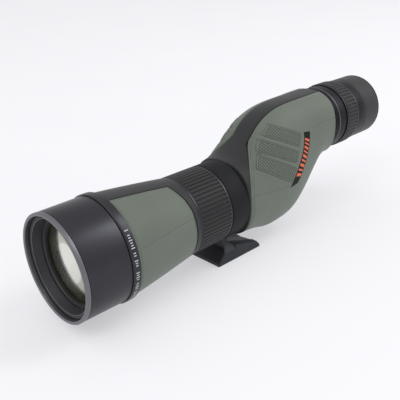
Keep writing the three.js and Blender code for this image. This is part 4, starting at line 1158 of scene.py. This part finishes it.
def makeBadges():
    t = np.concatenate([[0, 0.006, 0.014, 0.025], np.linspace(0.04, 0.96, 60), [0.975, 0.986, 0.994, 1]])
    w = np.concatenate([[0, 0.03, 0.07, 0.12], np.linspace(0.18, 0.82, 12), [0.88, 0.93, 0.97, 1]])
    t, w = np.meshgrid(t, w, indexing="ij")
    station, height = badgePoint(t, w)
    rim = np.minimum.reduce([t * badge["long"], (1 - t) * badge["long"], w * badge["wide"],
                             (1 - w) * badge["wide"]])
    lift = bend(rim, [(0, -0.8), (0.25, -0.1), (0.6, badge["proud"]), (1.2, badge["proud"])])
    strip = (sideLifted(station, height, lift), sideLifted(station, height, np.full(t.shape, -badge["sink"])))
    # a plain row of slanted bars in place of lettering
    marks = []
    first, last = badge["markSpan"]
    for k in range(badge["marks"]):
        half = badge["markWide"][k % 2] / 2
        along = first + (last - first) * (k + np.linspace(-half, half, 4) + 0.5) / badge["marks"]
        along, across = np.meshgrid(along, np.linspace(*badge["markReach"], 9), indexing="ij")
        station, height = badgePoint(along + badge["markLean"] * (across - 0.5), across)
        marks.append([sideLifted(station, height, np.full(station.shape, badge["proud"] + up))
                      for up in (badge["markLift"], -0.05)])
    bothSides(("badgeStrip", [strip], "badge", "badge_black", "badge_strip", 32),
              ("badgeMarks", marks, "orangeInk", "badge_black", None, 32))


makeBarrelArmour()
makeHousingArmour()
makePads()
makeBadges()
print("armour, pads and badges made")


# collar, foot and lock knob

collar = {"voxel": 0.45, "smooth": 6, "ringWall": 2.4, "edge": 0.6, "bead": 0.06}


def makeCollar():
    # the CAD collar and foot, worked over into a cast shape with soft edges
    source = frame["nodes"]["tripod_collar"]
    mesh = source.data.copy()
    mesh.name = "tripodFoot"
    piece = bpy.data.objects.new("tripodFoot", mesh)
    bpy.context.scene.collection.objects.link(piece)
    remesh = piece.modifiers.new("cast", "REMESH")
    remesh.mode = "VOXEL"
    remesh.voxel_size = collar["voxel"] * mm
    soften = piece.modifiers.new("soften", "SMOOTH")
    soften.factor = 0.5
    soften.iterations = collar["smooth"]
    view = bpy.context.evaluated_depsgraph_get()
    view.update()
    cast = bpy.data.meshes.new_from_object(piece.evaluated_get(view))
    piece.modifiers.clear()
    piece.data = cast
    for vertex in cast.vertices:
        vertex.co.z = max(vertex.co.z, 0)
    cast.materials.clear()
    cast.materials.append(finish["foot"])
    cast.shade_smooth()
    dressPiece(piece, "collar", ["tripod_collar"])
    radius = boxOf("tripod_collar")[1][0]
    front, rear = spanOf("focus_sleeve")[1] + 0.3, housingFront - 0.3
    turned("collarRing", rounded([
        (radius - collar["ringWall"], front, 0.2), (radius + collar["bead"], front, collar["edge"]),
        (radius + collar["bead"], rear, collar["edge"]), (radius - collar["ringWall"], rear, 0.2),
    ]), alongScope(mainAxis), "collarBlack", "collar", (), 240)


knob = {"lobes": 8, "lobeDepth": 1.0, "edge": 1.1, "dish": 0.7, "dishRadius": 4.6}


def makeKnob():
    low, high = boxOf("collar_lock_knob")
    centreY, centreZ = (low[1] + high[1]) / 2, (low[2] + high[2]) / 2
    radius = (high[2] - low[2]) / 2
    thick = high[0] - low[0]

    def lay(side, depth, up):
        return high[0] - depth, centreY + side, centreZ + up

    def lobed(r, depth, angle):
        dip = knob["lobeDepth"] * (0.5 - 0.5 * np.cos(angle * knob["lobes"]))
        return r - dip * np.clip((r - knob["dishRadius"]) / (radius - knob["dishRadius"]), 0, 1)
    turned("lockKnob", rounded([
        (0, 0, 0), (radius - 0.8, 0, 0.5), (radius, 1.2, 0.5), (radius, thick, knob["edge"]),
        (knob["dishRadius"], thick, 0.4), (knob["dishRadius"] - 0.5, thick - knob["dish"], 0.2),
        (0, thick - knob["dish"], 0),
    ]), lay, "blackRubber", "lock_knob", ["collar_lock_knob"], 192, lobed)


makeCollar()
makeKnob()
print("collar, foot and knob made")


# the CAD parts that stay

def dressKept():
    slots = {row["node"]: row["material_slot"] for row in frame["record"]["subparts"]}
    for name, node in frame["nodes"].items():
        node.data.materials.clear()
        node.data.materials.append(finish[slotFinish[slots[name]]])


dressKept()
